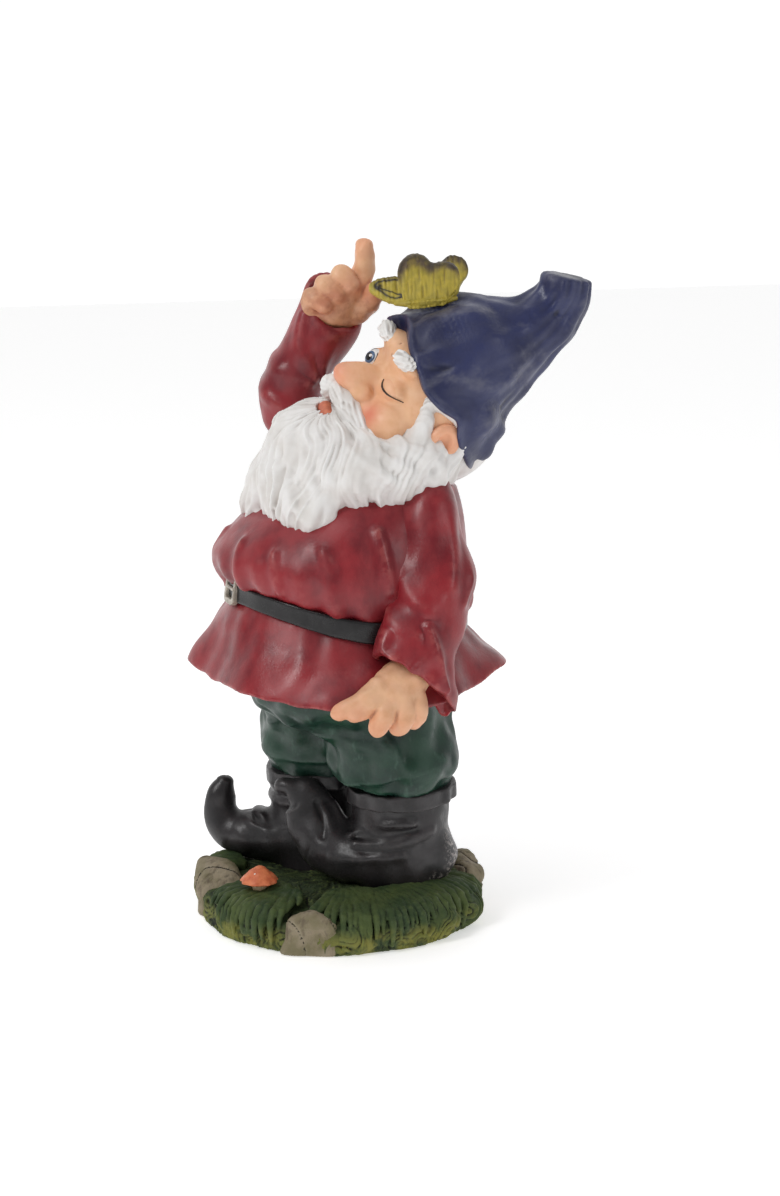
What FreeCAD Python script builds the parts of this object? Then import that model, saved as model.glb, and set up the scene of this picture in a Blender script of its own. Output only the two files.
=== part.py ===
"""Garden gnome looking up at a butterfly on his hat: a hollow cast-resin statue, built piece by piece.

Frame: millimetres, +Z up, origin at the centre of the base's flat underside.
The gnome faces -Y, so his left side is +X.
Every garment, limb and ornament is its own closed solid, and pieces meet face to face as they do in the casting.
"""
import FreeCAD
import Part
import math
import os

# ---------------------------------------------------------------- driving dimensions
WALL = 5.0                 # wall of the hollow castings
RING_POINTS = 12           # points that shape each elliptical section
GLUE_GAP = 0.1             # radial gap round a glued spigot

BASE_RADIUS = 79.0
BASE_HEIGHT = 23.0
BASE_FLOOR = 6.0           # thickness of the flat underside
POUR_HOLE_RADIUS = 14.0    # casting and drain hole in the underside

HEM_Z, BELT_Z, SHOULDER_Z = 143.0, 180.0, 246.0
BELT_HEIGHT, BELT_PROUD = 11.5, 2.5

HEAD_CENTRE = (15.5, 50.0, 288.5)
HEAD_YAW, HEAD_PITCH, HEAD_ROLL = 8.0, 22.0, 26.0      # turned, tipped back and leaning to his left, degrees
HEAD_RADII = (40.0, 41.0, 42.0)

BOOT_SHAFT_RADIUS, BOOT_TOP_Z = 27.5, 74.0
CUFF_HEIGHT, CUFF_PROUD = 12.0, 3.0
LEG_LEFT = (23.0, 28.5)    # x, y of the left boot's shaft
LEG_RIGHT = (-30.5, -2.0)

HAND_SPIGOT_RADIUS = 7.0


# ---------------------------------------------------------------- helpers
def vec(p):
    return FreeCAD.Vector(*p)


def ellipsoid(centre, radii, rotation=None):
    """A closed ellipsoid: a sphere with three radii, turned, then moved to its centre."""
    stretch = FreeCAD.Matrix()
    stretch.scale(*radii)
    body = Part.makeSphere(1.0).transformGeometry(stretch)
    if rotation is not None:
        body.Placement = FreeCAD.Placement(FreeCAD.Vector(), rotation)
    body.translate(vec(centre))
    return body


def ring(centre, tangent, side, half_width, half_depth):
    """An elliptical wire round a point of a path: half_width along `side`, half_depth across it.

    It is one smooth closed curve whose seam lies towards `side`, so that a stack of them lofts without twisting.
    """
    along = vec(tangent).normalize()
    wide = vec(side) - along * vec(side).dot(along)
    wide.normalize()
    deep = along.cross(wide)
    turns = [2 * math.pi * i / RING_POINTS for i in range(RING_POINTS)]
    curve = Part.BSplineCurve()
    curve.interpolate([vec(centre) + wide * (half_width * math.cos(t)) + deep * (half_depth * math.sin(t))
                       for t in turns], PeriodicFlag=True)
    return Part.Wire([curve.toShape()])


def limb(stations, side=(1, 0, 0)):
    """A solid lofted through ellipses. A station is (x, y, z, half_width, half_depth)."""
    points = [vec(s[:3]) for s in stations]
    wires = []
    for i, s in enumerate(stations):
        before, after = points[max(i - 1, 0)], points[min(i + 1, len(points) - 1)]
        wires.append(ring(s[:3], after - before, side, s[3], s[4]))
    return Part.makeLoft(wires, True, False)


def level(stations):
    """A solid lofted through ellipses stacked one above another.

    A station is (x, y, z, half_width, half_depth) and, if its front is raised, the tilt in degrees.
    """
    wires = []
    for x, y, z, half_width, half_depth, *tilt in stations:
        angle = math.radians(tilt[0] if tilt else 0)
        wires.append(ring((x, y, z), (0, math.sin(angle), math.cos(angle)), (1, 0, 0), half_width, half_depth))
    return Part.makeLoft(wires, True, False)


def thinner(stations, wall):
    """The same stations with their ellipses drawn in by the wall, for hollowing."""
    return [(x, y, z, half_width - wall, half_depth - wall, *tilt)
            for x, y, z, half_width, half_depth, *tilt in stations]


def capsule(start, end, radius_start, radius_end):
    """A finger: a tapering round rod with a ball at each end, drawn as one profile and spun about its axis."""
    axis = vec(end) - vec(start)
    length = axis.Length
    lean = math.asin((radius_start - radius_end) / length)

    def on_ball(height, radius, angle):
        return FreeCAD.Vector(radius * math.cos(angle), 0, height + radius * math.sin(angle))

    foot, tip = on_ball(0, radius_start, -math.pi / 2), on_ball(length, radius_end, math.pi / 2)
    low, high = on_ball(0, radius_start, lean), on_ball(length, radius_end, lean)
    profile = Part.Wire([
        Part.Arc(foot, on_ball(0, radius_start, (lean - math.pi / 2) / 2), low).toShape(),
        Part.makeLine(low, high),
        Part.Arc(high, on_ball(length, radius_end, (lean + math.pi / 2) / 2), tip).toShape(),
        Part.makeLine(tip, foot),
    ])
    rod = Part.Face(profile).revolve(FreeCAD.Vector(), FreeCAD.Vector(0, 0, 1), 360)
    rod.Placement = FreeCAD.Placement(vec(start), FreeCAD.Rotation(FreeCAD.Vector(0, 0, 1), axis))
    return rod


def fused(*shapes):
    return shapes[0].multiFuse(list(shapes[1:])).removeSplitter()


def above_ground(shape):
    """What lies above the base's underside, so that nothing reaches below it."""
    size = 400
    return shape.common(Part.makeBox(size, size, size, FreeCAD.Vector(-size / 2, -size / 2, 0)))


def spigot(start, end, radius):
    a, b = vec(start), vec(end)
    return Part.makeCylinder(radius, (b - a).Length, a, b - a)


def beyond(shape, point, facing):
    """What is left of a shape beyond a plane through a point, on the side it faces."""
    half_space = Part.makeBox(400, 400, 400, FreeCAD.Vector(-200, -200, 0))
    turn = FreeCAD.Rotation(FreeCAD.Vector(0, 0, 1), vec(facing))
    half_space.Placement = FreeCAD.Placement(vec(point), turn).multiply(half_space.Placement)
    return shape.common(half_space)


HEAD_TURN = (FreeCAD.Rotation(FreeCAD.Vector(0, 0, 1), HEAD_YAW)
             .multiply(FreeCAD.Rotation(FreeCAD.Vector(1, 0, 0), -HEAD_PITCH))
             .multiply(FreeCAD.Rotation(FreeCAD.Vector(0, 1, 0), HEAD_ROLL)))


def on_head(p):
    """A point given as (left, back, up) from the centre of the head, in the object's frame."""
    return tuple(vec(HEAD_CENTRE) + HEAD_TURN.multVec(vec(p)))


def head_blob(centre, radii):
    return ellipsoid(on_head(centre), radii, HEAD_TURN)


# ---------------------------------------------------------------- base with stones, grass and mushroom
def base_outline(radius, foot_z, top_z):
    """A round mound about the Z axis: upright at the foot, rounded to a nearly flat top."""
    shoulder = 0.84 * radius
    foot = FreeCAD.Vector(radius - 2, 0, foot_z)
    side = Part.Arc(foot, FreeCAD.Vector(radius, 0, foot_z + 0.4 * (top_z - foot_z)),
                    FreeCAD.Vector(radius - 4, 0, foot_z + 0.7 * (top_z - foot_z))).toShape()
    bevel = Part.makeLine(side.Vertexes[-1].Point, FreeCAD.Vector(shoulder, 0, top_z - 1.5))
    top = Part.makeLine(FreeCAD.Vector(shoulder, 0, top_z - 1.5), FreeCAD.Vector(0, 0, top_z))
    axis = Part.makeLine(FreeCAD.Vector(0, 0, top_z), FreeCAD.Vector(0, 0, foot_z))
    under = Part.makeLine(FreeCAD.Vector(0, 0, foot_z), foot)
    face = Part.Face(Part.Wire([under, side, bevel, top, axis]))
    return face.revolve(FreeCAD.Vector(), FreeCAD.Vector(0, 0, 1), 360)


MOUND = base_outline(BASE_RADIUS, 0, BASE_HEIGHT)
CAVITY = base_outline(BASE_RADIUS - WALL - 2, BASE_FLOOR, BASE_HEIGHT - WALL)
POUR_HOLE = Part.makeCylinder(POUR_HOLE_RADIUS, BASE_FLOOR + 2, FreeCAD.Vector(0, 0, -1))

# stones bedded in the mound: centre, radii
STONES = {
    "stone_front": ((62, -37, 8), (18, 18, 15)),
    "stone_right_front": ((-22, -66, 12), (26, 16, 16)),
    "stone_heel": ((16, 66, 18), (20, 14, 12)),
    "stone_right_side": ((-64, 26, 11), (15, 21, 14)),
}

# clumps of grass leaning over the rim: centre, radii
GRASS = {
    "grass_front": ((34, -65, 13), (22, 16, 14)),
    "grass_left_side": ((63, 20, 13), (19, 40, 14)),
    "grass_toe": ((-40, -62, 17), (14, 11, 10)),
    "grass_back": ((-22, 64, 13), (32, 17, 14)),
    "grass_right_side": ((-64, -20, 13), (17, 24, 14)),
}

MUSHROOM = (23.0, -54.0)            # x, y
MUSHROOM_STEM_RADIUS = 4.0
MUSHROOM_CAP_Z, MUSHROOM_CAP_RADIUS, MUSHROOM_CAP_HEIGHT = 31.5, 11.0, 12.0
MUSHROOM_CAP_TIP = 2.2


def mushroom_cap():
    """A pointed cap: a cone rounded at the tip by a ball tangent to its flank."""
    slope = math.atan((MUSHROOM_CAP_RADIUS - MUSHROOM_CAP_TIP) / (MUSHROOM_CAP_HEIGHT - MUSHROOM_CAP_TIP))
    x, y = MUSHROOM
    ball_z = MUSHROOM_CAP_Z + MUSHROOM_CAP_HEIGHT - MUSHROOM_CAP_TIP
    seam_z = ball_z + MUSHROOM_CAP_TIP * math.sin(slope)
    flank = Part.makeCone(MUSHROOM_CAP_RADIUS, MUSHROOM_CAP_TIP * math.cos(slope), seam_z - MUSHROOM_CAP_Z,
                          FreeCAD.Vector(x, y, MUSHROOM_CAP_Z))
    return flank.fuse(Part.makeSphere(MUSHROOM_CAP_TIP, FreeCAD.Vector(x, y, ball_z)))


# ---------------------------------------------------------------- boots and trousers
def boot(leg, foot, toe):
    """A short boot: an upright shaft, a foot and a toe that curls up."""
    x, y = leg
    shaft = level([(x, y, 20, 23, 25), (x, y, 34, 25, 27), (x, y, 56, 25.5, 26),
                   (x, y, BOOT_TOP_Z, BOOT_SHAFT_RADIUS, BOOT_SHAFT_RADIUS)])
    return fused(shaft, limb(foot), limb(toe))


BOOT_LEFT_FOOT = [(25, 42, 39, 23, 19), (23, 22, 40, 25, 20), (17, 4, 41, 22, 20), (9, -10, 44, 17, 19),
                  (4, -18, 47, 13, 16)]
BOOT_LEFT_TOE = [(9, -9, 42, 15, 14), (5, -15, 50, 14, 16), (1, -19, 59, 11, 15), (-1, -22, 67, 8, 11),
                 (-4, -27, 72, 5, 6), (-7, -32, 73.5, 3, 3)]
BOOT_RIGHT_FOOT = [(-30, 8, 37, 22, 18), (-34, -12, 37, 23, 18), (-39, -28, 36, 20, 15), (-44, -40, 36, 15, 14),
                   (-48, -49, 38, 10, 11)]
BOOT_RIGHT_TOE = [(-43, -39, 34, 13, 11), (-49, -49, 39, 11, 12), (-52, -54, 49, 9, 10), (-52, -54, 58, 7, 8),
                  (-51, -52, 66, 4, 4)]


def cuff(leg, top_z):
    """The folded band round the top of a boot, before the boot itself is taken out of it."""
    x, y = leg
    wide = BOOT_SHAFT_RADIUS + CUFF_PROUD
    return level([(x, y, top_z - CUFF_HEIGHT, wide - 1.2, wide - 1.2), (x, y, top_z - CUFF_HEIGHT / 2, wide, wide),
                  (x, y, top_z + 3.5, wide - 0.5, wide - 0.5)])


LEG_LEFT_STATIONS = [(23, 28, 74.5, 24, 24), (23, 28, 80, 29, 29), (23, 27, 88, 32, 33), (22, 24, 104, 33, 35),
                     (17, 20, 126, 33, 36)]
LEG_RIGHT_STATIONS = [(-30.5, -2, 74.5, 24, 24), (-30, -2, 80, 28, 28), (-30, -2, 87, 30, 31),
                      (-28, -2, 101, 30, 32), (-21, 0, 126, 33, 34)]
SEAT_STATIONS = [(-3, 10, 114, 44, 44), (0, 8, 124, 54, 54), (1, 6, 140, 57, 57), (2, 5, 160, 57, 57),
                 (2, 5, 172, 55, 55)]

# ---------------------------------------------------------------- coat, belt and buckle
BELT_TILT = 9.5            # degrees: the belt rides up over the belly at the front
SKIRT_STATIONS = [(1.5, 4, HEM_Z, 84, 84, 0), (2, 4, 151, 80, 80, 1), (2, 5, 164, 71, 71, 4),
                  (2, 5, 173, 64.5, 64.5, 8), (2, 5, BELT_Z, 63, 63, BELT_TILT)]
BODY_STATIONS = [(2, 5, BELT_Z, 63, 63, BELT_TILT), (1, 4, 192, 68, 68, 8), (0, 4, 206, 70, 68, 5),
                 (0, 10, 222, 64, 60, 5), (1, 22, 237, 54, 46, 8), (3, 32, SHOULDER_Z + 3, 40, 33, 12)]
BUCKLE_WIDTH, BUCKLE_HEIGHT, BUCKLE_BAR, BUCKLE_DEPTH = 17.0, 17.0, 2.6, 3.2


def belt_band():
    """The belt as a solid tilted disc, before the coat is taken out of it."""
    band = Part.makeCylinder(63.5 + BELT_PROUD, BELT_HEIGHT, FreeCAD.Vector(0, 0, -BELT_HEIGHT / 2))
    band.Placement = FreeCAD.Placement(FreeCAD.Vector(2, 5, BELT_Z),
                                       FreeCAD.Rotation(FreeCAD.Vector(1, 0, 0), -BELT_TILT))
    return band


def at_buckle(shape):
    """Moves a shape drawn about the origin, facing -Y, to the front of the belt."""
    shape.translate(FreeCAD.Vector(0, -(63.0 + BELT_PROUD - 0.8), 0))
    shape.Placement = FreeCAD.Placement(FreeCAD.Vector(2, 5, BELT_Z),
                                        FreeCAD.Rotation(FreeCAD.Vector(1, 0, 0), -BELT_TILT)).multiply(shape.Placement)
    return shape


def buckle_frame():
    half_w, half_h = BUCKLE_WIDTH / 2, BUCKLE_HEIGHT / 2
    outer = Part.makeBox(BUCKLE_WIDTH, BUCKLE_DEPTH, BUCKLE_HEIGHT, FreeCAD.Vector(-half_w, -BUCKLE_DEPTH, -half_h))
    inner = Part.makeBox(BUCKLE_WIDTH - 2 * BUCKLE_BAR, BUCKLE_DEPTH + 2, BUCKLE_HEIGHT - 2 * BUCKLE_BAR,
                         FreeCAD.Vector(BUCKLE_BAR - half_w, -BUCKLE_DEPTH - 1, BUCKLE_BAR - half_h))
    return at_buckle(outer.cut(inner))


def buckle_prong():
    inside = BUCKLE_WIDTH - 2 * BUCKLE_BAR
    return at_buckle(Part.makeCylinder(1.1, inside, FreeCAD.Vector(-inside / 2, -1.2, 0), FreeCAD.Vector(1, 0, 0)))


# ---------------------------------------------------------------- arms and hands
SLEEVE_LEFT = [(41, 41, 250, 7, 8), (44, 41, 245, 15, 17), (49, 40, 234, 19, 21), (54, 38, 220, 19, 22),
               (62, 34, 203, 17, 22), (68, 28, 187, 15.5, 21), (74, 20, 169, 15.5, 21), (78, 15, 152, 17, 22.5),
               (79, 15, 128, 18, 23.5)]
SLEEVE_RIGHT = [(-32, 40, 232, 7, 8), (-38, 33, 238, 15, 16), (-43, 20, 247, 17, 18), (-48, 5, 260, 17, 18),
                (-51, -7, 276, 17, 18), (-51, -10, 291, 17, 18), (-47, -4, 307, 17, 18), (-42.5, 5, 322, 17, 18),
                (-41.5, 11, 336, 16.5, 17.5), (-41.5, 15, 354, 16.5, 17.5)]
# the slanting plane each cuff ends on: a point on it, and the way the sleeve lies from it
CUFF_LEFT = (79.6, 15.2, 149.6), (-0.254, 0.622, 0.741)
CUFF_RIGHT = (-41.5, 12.6, 336), (-0.507, -0.135, -0.858)
WRIST_LEFT, WRIST_LEFT_IN = (81, 10, 147), (76.5, 19, 168)
WRIST_RIGHT, WRIST_RIGHT_IN = (-38, 15, 342), (-44.5, 1.5, 317)


PALM_LEFT = [(77, 13, 157, 10, 15), (79, 8.5, 151.5, 11, 17.5), (83, 4, 146, 10.5, 18), (86, 0, 140, 9, 16),
             (88, -1, 136, 5, 10)]
PALM_RIGHT = [(-43, 10, 331, 13, 14), (-40, 12.5, 337, 14, 15.5), (-36, 14, 342.5, 13, 16), (-31, 16, 349, 9, 12),
              (-29.5, 17, 353, 4, 7)]
# fingers: start, end, start radius, end radius, with the index finger first and the thumb last
FINGERS_LEFT = [((84, -8, 146), (82, -27, 137.5), 6.0, 4.6), ((88, -6, 143), (88, -18, 140), 6.2, 5.4),
                ((89, -1, 143), (91, -8, 131), 6.4, 5.8), ((88, 9, 141), (88, 6, 132), 6.0, 5.4),
                ((84, 17, 143), (85, 14, 134), 5.6, 5.0)]
FINGERS_RIGHT = [((-31, 22, 349), (-28.5, 26.5, 369.5), 6.4, 5.0), ((-30, 15, 347), (-28, 15, 353), 7.2, 6.6),
                 ((-32, 6, 343), (-29, 6, 347), 7.0, 6.2), ((-35, 1, 337), (-33, 0, 339), 6.4, 5.8),
                 ((-30, 22, 335), (-22, 29, 343), 6.6, 5.6)]


def hand(palm, fingers, wrist, inside):
    """A broad palm, five stubby fingers and the spigot that is glued into the cuff."""
    body = limb(palm, side=(1, 0, 0.3))
    for finger in fingers:
        body = body.fuse(capsule(*finger))
    return body.fuse(spigot(wrist, inside, HAND_SPIGOT_RADIUS))


# ---------------------------------------------------------------- head, hair and hat
EARS = {"ear_left": 1, "ear_right": -1}
EYE = (15.5, -34.5, 5.0)           # left, back, up from the head's centre
EYE_RADIUS = 7.0
BROW = (16.0, -39.5, 23.5)


def head_skin():
    """Skull with cheeks and a large nose, one casting."""
    return fused(head_blob((0, 0, 0), HEAD_RADII), head_blob((19, -29, -12), (15, 13, 14)),
                 head_blob((-19, -29, -12), (15, 13, 14)), head_blob((0, -42, 2), (7.5, 12, 7.5)),
                 head_blob((0, -52, -4), (9, 10.5, 8)))


def moustache(side):
    """Half of the moustache, from under the nose out over the cheek."""
    points = [(side * 2, -58, -14), (side * 8, -54.5, -17), (side * 15, -48, -20.5), (side * 22, -42, -22),
              (side * 29, -35, -20)]
    sizes = [(6.5, 5.5), (8.5, 7), (9, 7.5), (7.5, 6), (3, 2.5)]
    upward = HEAD_TURN.multVec(FreeCAD.Vector(0, 0, 1))
    return limb([(*on_head(p), *s) for p, s in zip(points, sizes)], side=upward)


# the full beard hangs from cheeks and chin, spreads over the chest and runs round to the nape: centre, radii
BEARD = [((3, -4, 267), (36, 36, 27)), ((0, -12, 247), (44, 37, 25)), ((27, 10, 257), (36, 41, 24)),
         ((-20, 10, 255), (31, 39, 26)), ((37, 34, 261), (25, 23, 20)), ((-12, -34, 230), (17, 17, 15))]

HAT_SIDE = (0.9, -0.1, -0.4)       # direction across the hat, for its ellipses
HAT = [(10, 35, 285, 48, 46), (14, 47, 293.5, 48, 45.5), (22, 69, 312, 39.5, 38.5), (29, 89, 321.5, 27, 27),
       (34, 102, 329.5, 18.5, 19.5), (37.5, 111, 339, 14, 15.5), (40, 116.5, 348.5, 13, 14), (41.5, 119, 359, 11.5, 12.5)]
HAT_HOLLOW = [(9, 33, 283, 43, 41), (22, 69, 311, 34, 33), (31, 93, 323, 18, 18)]
BRIM_MIDDLE, BRIM_FACING = (14, 47, 293.5), (0.22, 0.856, 0.469)      # the flat face the brim ends on


# ---------------------------------------------------------------- butterfly on the hat
BUTTERFLY = (23.0, 41.0, 341.5)    # where its feet stand on the hat
WING_THICKNESS = 3.6


def plate(outline, origin, across, upward, thickness):
    """A flat closed solid whose outline is a smooth curve through points given in its own plane."""
    a, b = vec(across).normalize(), vec(upward).normalize()
    b = (b - a * a.dot(b)).normalize()
    normal = a.cross(b)
    points = [vec(origin) + a * p + b * q - normal * (thickness / 2) for p, q in outline]
    curve = Part.BSplineCurve()
    curve.interpolate(points, PeriodicFlag=True)
    return Part.Face(Part.Wire([curve.toShape()])).extrude(normal * thickness)


# across runs from the butterfly's head to its tail, upward runs from its back to the wing tip
FORE_WING = [(-9, 0), (-15, 12), (-10, 23), (1, 25), (8, 16), (8, 2)]
HIND_WING = [(2, 0), (7, 14), (14, 20), (22, 20), (25, 12), (17, 2)]
TAIL_DIRECTION = (0.30, 0.95, 0.08)
LEFT_WING_UP, RIGHT_WING_UP = (0.35, -0.2, 0.9), (-0.72, -0.5, 0.42)


def wing_pair(upward):
    """A fore wing and a hind wing that share a root on the butterfly's back."""
    root = (BUTTERFLY[0], BUTTERFLY[1], BUTTERFLY[2] + 4)
    fore = plate(FORE_WING, root, TAIL_DIRECTION, upward, WING_THICKNESS)
    hind = plate(HIND_WING, root, TAIL_DIRECTION, upward, WING_THICKNESS)
    return fused(fore, hind)


def butterfly_body():
    x, y, z = BUTTERFLY
    along = vec(TAIL_DIRECTION).normalize()
    stations = [(x + along.x * t, y + along.y * t, z + 3 + along.z * t, w, w)
                for t, w in ((-15, 1.6), (-11, 3.2), (-6, 2.8), (0, 3.6), (8, 3.0), (16, 2.2), (21, 1.0))]
    return limb(stations)


# ---------------------------------------------------------------- assembly
def base_nodes():
    """Ground, stones, grass and mushroom. Neighbours on the rim are trimmed by the one before."""
    nodes = {"base_ground": MOUND.cut([CAVITY, POUR_HOLE])}
    placed = [MOUND]
    for name, (centre, radii) in {**STONES, **GRASS}.items():
        piece = above_ground(ellipsoid(centre, radii)).cut(placed)
        nodes[name] = piece
        placed.append(piece)
    stem = Part.makeCylinder(MUSHROOM_STEM_RADIUS, MUSHROOM_CAP_Z - 18, FreeCAD.Vector(*MUSHROOM, 18))
    nodes["mushroom_stem"] = stem.cut(placed)
    nodes["mushroom_cap"] = mushroom_cap()
    return nodes


def leg_nodes(ground):
    """Boots with their cuffs, and the hollow trousers tucked into them."""
    left_boot = boot(LEG_LEFT, BOOT_LEFT_FOOT, BOOT_LEFT_TOE).cut(ground)
    right_boot = boot(LEG_RIGHT, BOOT_RIGHT_FOOT, BOOT_RIGHT_TOE).cut([*ground, left_boot])
    outside = fused(limb(LEG_LEFT_STATIONS), limb(LEG_RIGHT_STATIONS), level(SEAT_STATIONS))
    inside = fused(*(limb(thinner(s, WALL)) for s in (LEG_LEFT_STATIONS, LEG_RIGHT_STATIONS)),
                   level(thinner(SEAT_STATIONS, WALL)))
    left_cuff = cuff(LEG_LEFT, BOOT_TOP_Z)
    return {
        "boot_left": left_boot,
        "boot_right": right_boot,
        "boot_cuff_left": left_cuff.cut([outside, left_boot, right_boot]),
        "boot_cuff_right": cuff(LEG_RIGHT, BOOT_TOP_Z).cut([outside, left_boot, right_boot, left_cuff]),
        "trousers": outside.cut([inside, left_boot, right_boot]),
    }, outside


def coat_nodes(trousers):
    """Hollow coat above and below the belt, the belt and its buckle."""
    skirt, body, band = level(SKIRT_STATIONS), level(BODY_STATIONS), belt_band()
    open_skirt = thinner([(*SKIRT_STATIONS[0][:2], HEM_Z - 1, *SKIRT_STATIONS[0][3:]), *SKIRT_STATIONS[1:]], WALL)
    closed_body = thinner(BODY_STATIONS[:-1], WALL)
    return {
        "coat_skirt": skirt.cut([level(open_skirt), trousers]),
        "coat_body": body.cut(level(closed_body)),
        "belt": band.cut([skirt, body]),
        "belt_buckle_frame": buckle_frame().cut(band),
        "belt_buckle_prong": buckle_prong().cut(band),
    }, [skirt, body, band]


def arm_nodes(coat):
    """Sleeves with a socket at the cuff, and hands with a spigot glued into it."""
    nodes = {}
    for side, stations, end, palm, fingers, wrist, inside in (
            ("left", SLEEVE_LEFT, CUFF_LEFT, PALM_LEFT, FINGERS_LEFT, WRIST_LEFT, WRIST_LEFT_IN),
            ("right", SLEEVE_RIGHT, CUFF_RIGHT, PALM_RIGHT, FINGERS_RIGHT, WRIST_RIGHT, WRIST_RIGHT_IN)):
        socket = spigot(wrist, inside, HAND_SPIGOT_RADIUS + GLUE_GAP)
        sleeve = beyond(limb(stations), *end).cut([socket, *coat])
        nodes["sleeve_" + side] = sleeve
        nodes["hand_" + side] = hand(palm, fingers, wrist, inside).cut(sleeve)
    return nodes


def face_nodes(skull):
    """What is set on the skull: ears, eyes, brows, moustache and lower lip."""
    nodes = {}
    for name, side in EARS.items():
        nodes[name] = head_blob((side * 41, -3, -8), (5.5, 9, 13)).cut(skull)
    nodes["eye_right"] = ellipsoid(on_head((-EYE[0], EYE[1], EYE[2])), (EYE_RADIUS,) * 3).cut(skull)
    nodes["eyelid_left"] = ellipsoid(on_head(EYE), (EYE_RADIUS,) * 3).cut(skull)
    for name, side in {"eyebrow_left": 1, "eyebrow_right": -1}.items():
        nodes[name] = head_blob((side * BROW[0], BROW[1], BROW[2]), (9.5, 5, 4.5)).cut(skull)
    nodes["moustache_left"] = moustache(1).cut(skull)
    nodes["moustache_right"] = moustache(-1).cut([skull, nodes["moustache_left"]])
    nodes["lower_lip"] = head_blob((1, -50, -32), (11, 7, 4.5)).cut([skull, nodes["moustache_left"],
                                                                  nodes["moustache_right"]])
    return nodes


def butterfly_nodes(hat):
    """A body standing on the hat and two pairs of wings on its back."""
    insect = butterfly_body()
    left = wing_pair(LEFT_WING_UP).cut([insect, hat])
    right = wing_pair(RIGHT_WING_UP).cut([insect, hat, left])
    return {"butterfly_body": insect.cut(hat), "butterfly_wings_left": left, "butterfly_wings_right": right}


def build():
    """Every node as a closed solid. What lies on top is trimmed by what it lies on."""
    nodes = base_nodes()
    legs, trousers = leg_nodes(list(nodes.values())[:-2] + [MOUND])
    coats, coat = coat_nodes(trousers)
    arms = arm_nodes(coat)
    body = coat[1]

    skull = head_skin()
    neck = Part.makeCylinder(19, 24, FreeCAD.Vector(8, 37, 240), FreeCAD.Vector(0.12, 0.18, 1))
    brain = head_blob((0, 2, 0), tuple(r - WALL for r in HEAD_RADII))
    head = {"head": skull.fuse(neck).cut([body, brain])}

    hat_outside = beyond(limb(HAT, side=HAT_SIDE), BRIM_MIDDLE, BRIM_FACING)
    hat_inside = limb(HAT_HOLLOW, side=HAT_SIDE)
    hat = hat_outside.cut([hat_inside, skull, neck])
    face = face_nodes(skull)
    for name in face:
        face[name] = face[name].cut([hat, hat_outside] if name.startswith("eyebrow") else hat)

    beard = fused(*(ellipsoid(*blob) for blob in BEARD))
    beard = beard.cut([skull, neck, body, hat_outside, *arms.values(), *face.values()])
    return {**nodes, **legs, **coats, **arms, **head, **face, "hat": hat, "beard": beard,
            **butterfly_nodes(hat_outside)}


def largest_solids(shape, least=20.0):
    """The solids worth keeping: a trim can leave crumbs under `least` cubic millimetres."""
    kept = [s for s in shape.Solids if s.Volume > least]
    return Part.makeCompound(kept) if len(kept) > 1 else kept[0]


os.makedirs("parts", exist_ok=True)
for old in os.listdir("parts"):
    os.remove(os.path.join("parts", old))
for node, shape in build().items():
    solid = largest_solids(shape)
    print(f"{node:24s} solids {len(solid.Solids)} valid {solid.isValid()} volume {solid.Volume / 1000:8.2f} cm3")
    solid.exportStep(os.path.join("parts", node + ".step"))
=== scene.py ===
"""The painted garden gnome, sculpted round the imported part.

Each visible piece is a signed distance function in millimetres, in the part's own frame: +Z is up, the gnome
faces -Y and +X is his left. It is turned into a closed mesh and painted with a procedural material.
"""
import math

import bpy
import numpy as np
from mathutils import Matrix, Vector


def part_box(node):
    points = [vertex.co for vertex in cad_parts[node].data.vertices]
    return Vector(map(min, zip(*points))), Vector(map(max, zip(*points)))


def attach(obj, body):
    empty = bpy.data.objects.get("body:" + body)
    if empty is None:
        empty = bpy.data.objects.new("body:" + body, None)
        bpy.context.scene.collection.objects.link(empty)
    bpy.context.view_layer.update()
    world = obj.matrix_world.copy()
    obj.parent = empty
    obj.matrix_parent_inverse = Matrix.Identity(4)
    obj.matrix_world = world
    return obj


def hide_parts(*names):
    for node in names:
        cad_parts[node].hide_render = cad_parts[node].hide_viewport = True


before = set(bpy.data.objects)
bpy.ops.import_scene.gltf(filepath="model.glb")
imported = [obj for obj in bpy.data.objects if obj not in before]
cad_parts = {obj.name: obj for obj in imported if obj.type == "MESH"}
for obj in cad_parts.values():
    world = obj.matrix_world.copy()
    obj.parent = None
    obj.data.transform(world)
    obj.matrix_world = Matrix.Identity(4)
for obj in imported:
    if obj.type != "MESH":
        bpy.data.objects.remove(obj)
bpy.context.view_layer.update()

MM = 0.001
COARSE = 1.0      # a coarser sculpting grid while trying things


def node_box(name):
    """A CAD node's lowest corner, highest corner and middle, in millimetres."""
    low, high = (np.array(corner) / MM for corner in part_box(name))
    return low, high, (low + high) / 2


_, BASE_HIGH, _ = node_box("base_ground")
BASE_RADIUS = BASE_HIGH[0]
BASE_TOP = BASE_HIGH[2]
FLOOR_GAP = 0.4                          # everything on the base ends this far above the floor
FLOOR_REACH = 4000.0


# ---------------------------------------------------------------- numbers in three dimensions
def length(v):
    return np.sqrt(np.einsum("ij,ij->i", v, v))


def smooth_min(a, b, blend):
    """The lesser of two distances, rounded where they meet."""
    h = np.clip(0.5 + 0.5 * (b - a) / blend, 0, 1)
    return b + (a - b) * h - blend * h * (1 - h)


def smooth_max(a, b, blend):
    return -smooth_min(-a, -b, blend)


def ramp(x, low, high):
    """0 below low, 1 above high, smooth between."""
    t = np.clip((x - low) / (high - low), 0, 1)
    return t * t * (3 - 2 * t)


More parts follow.
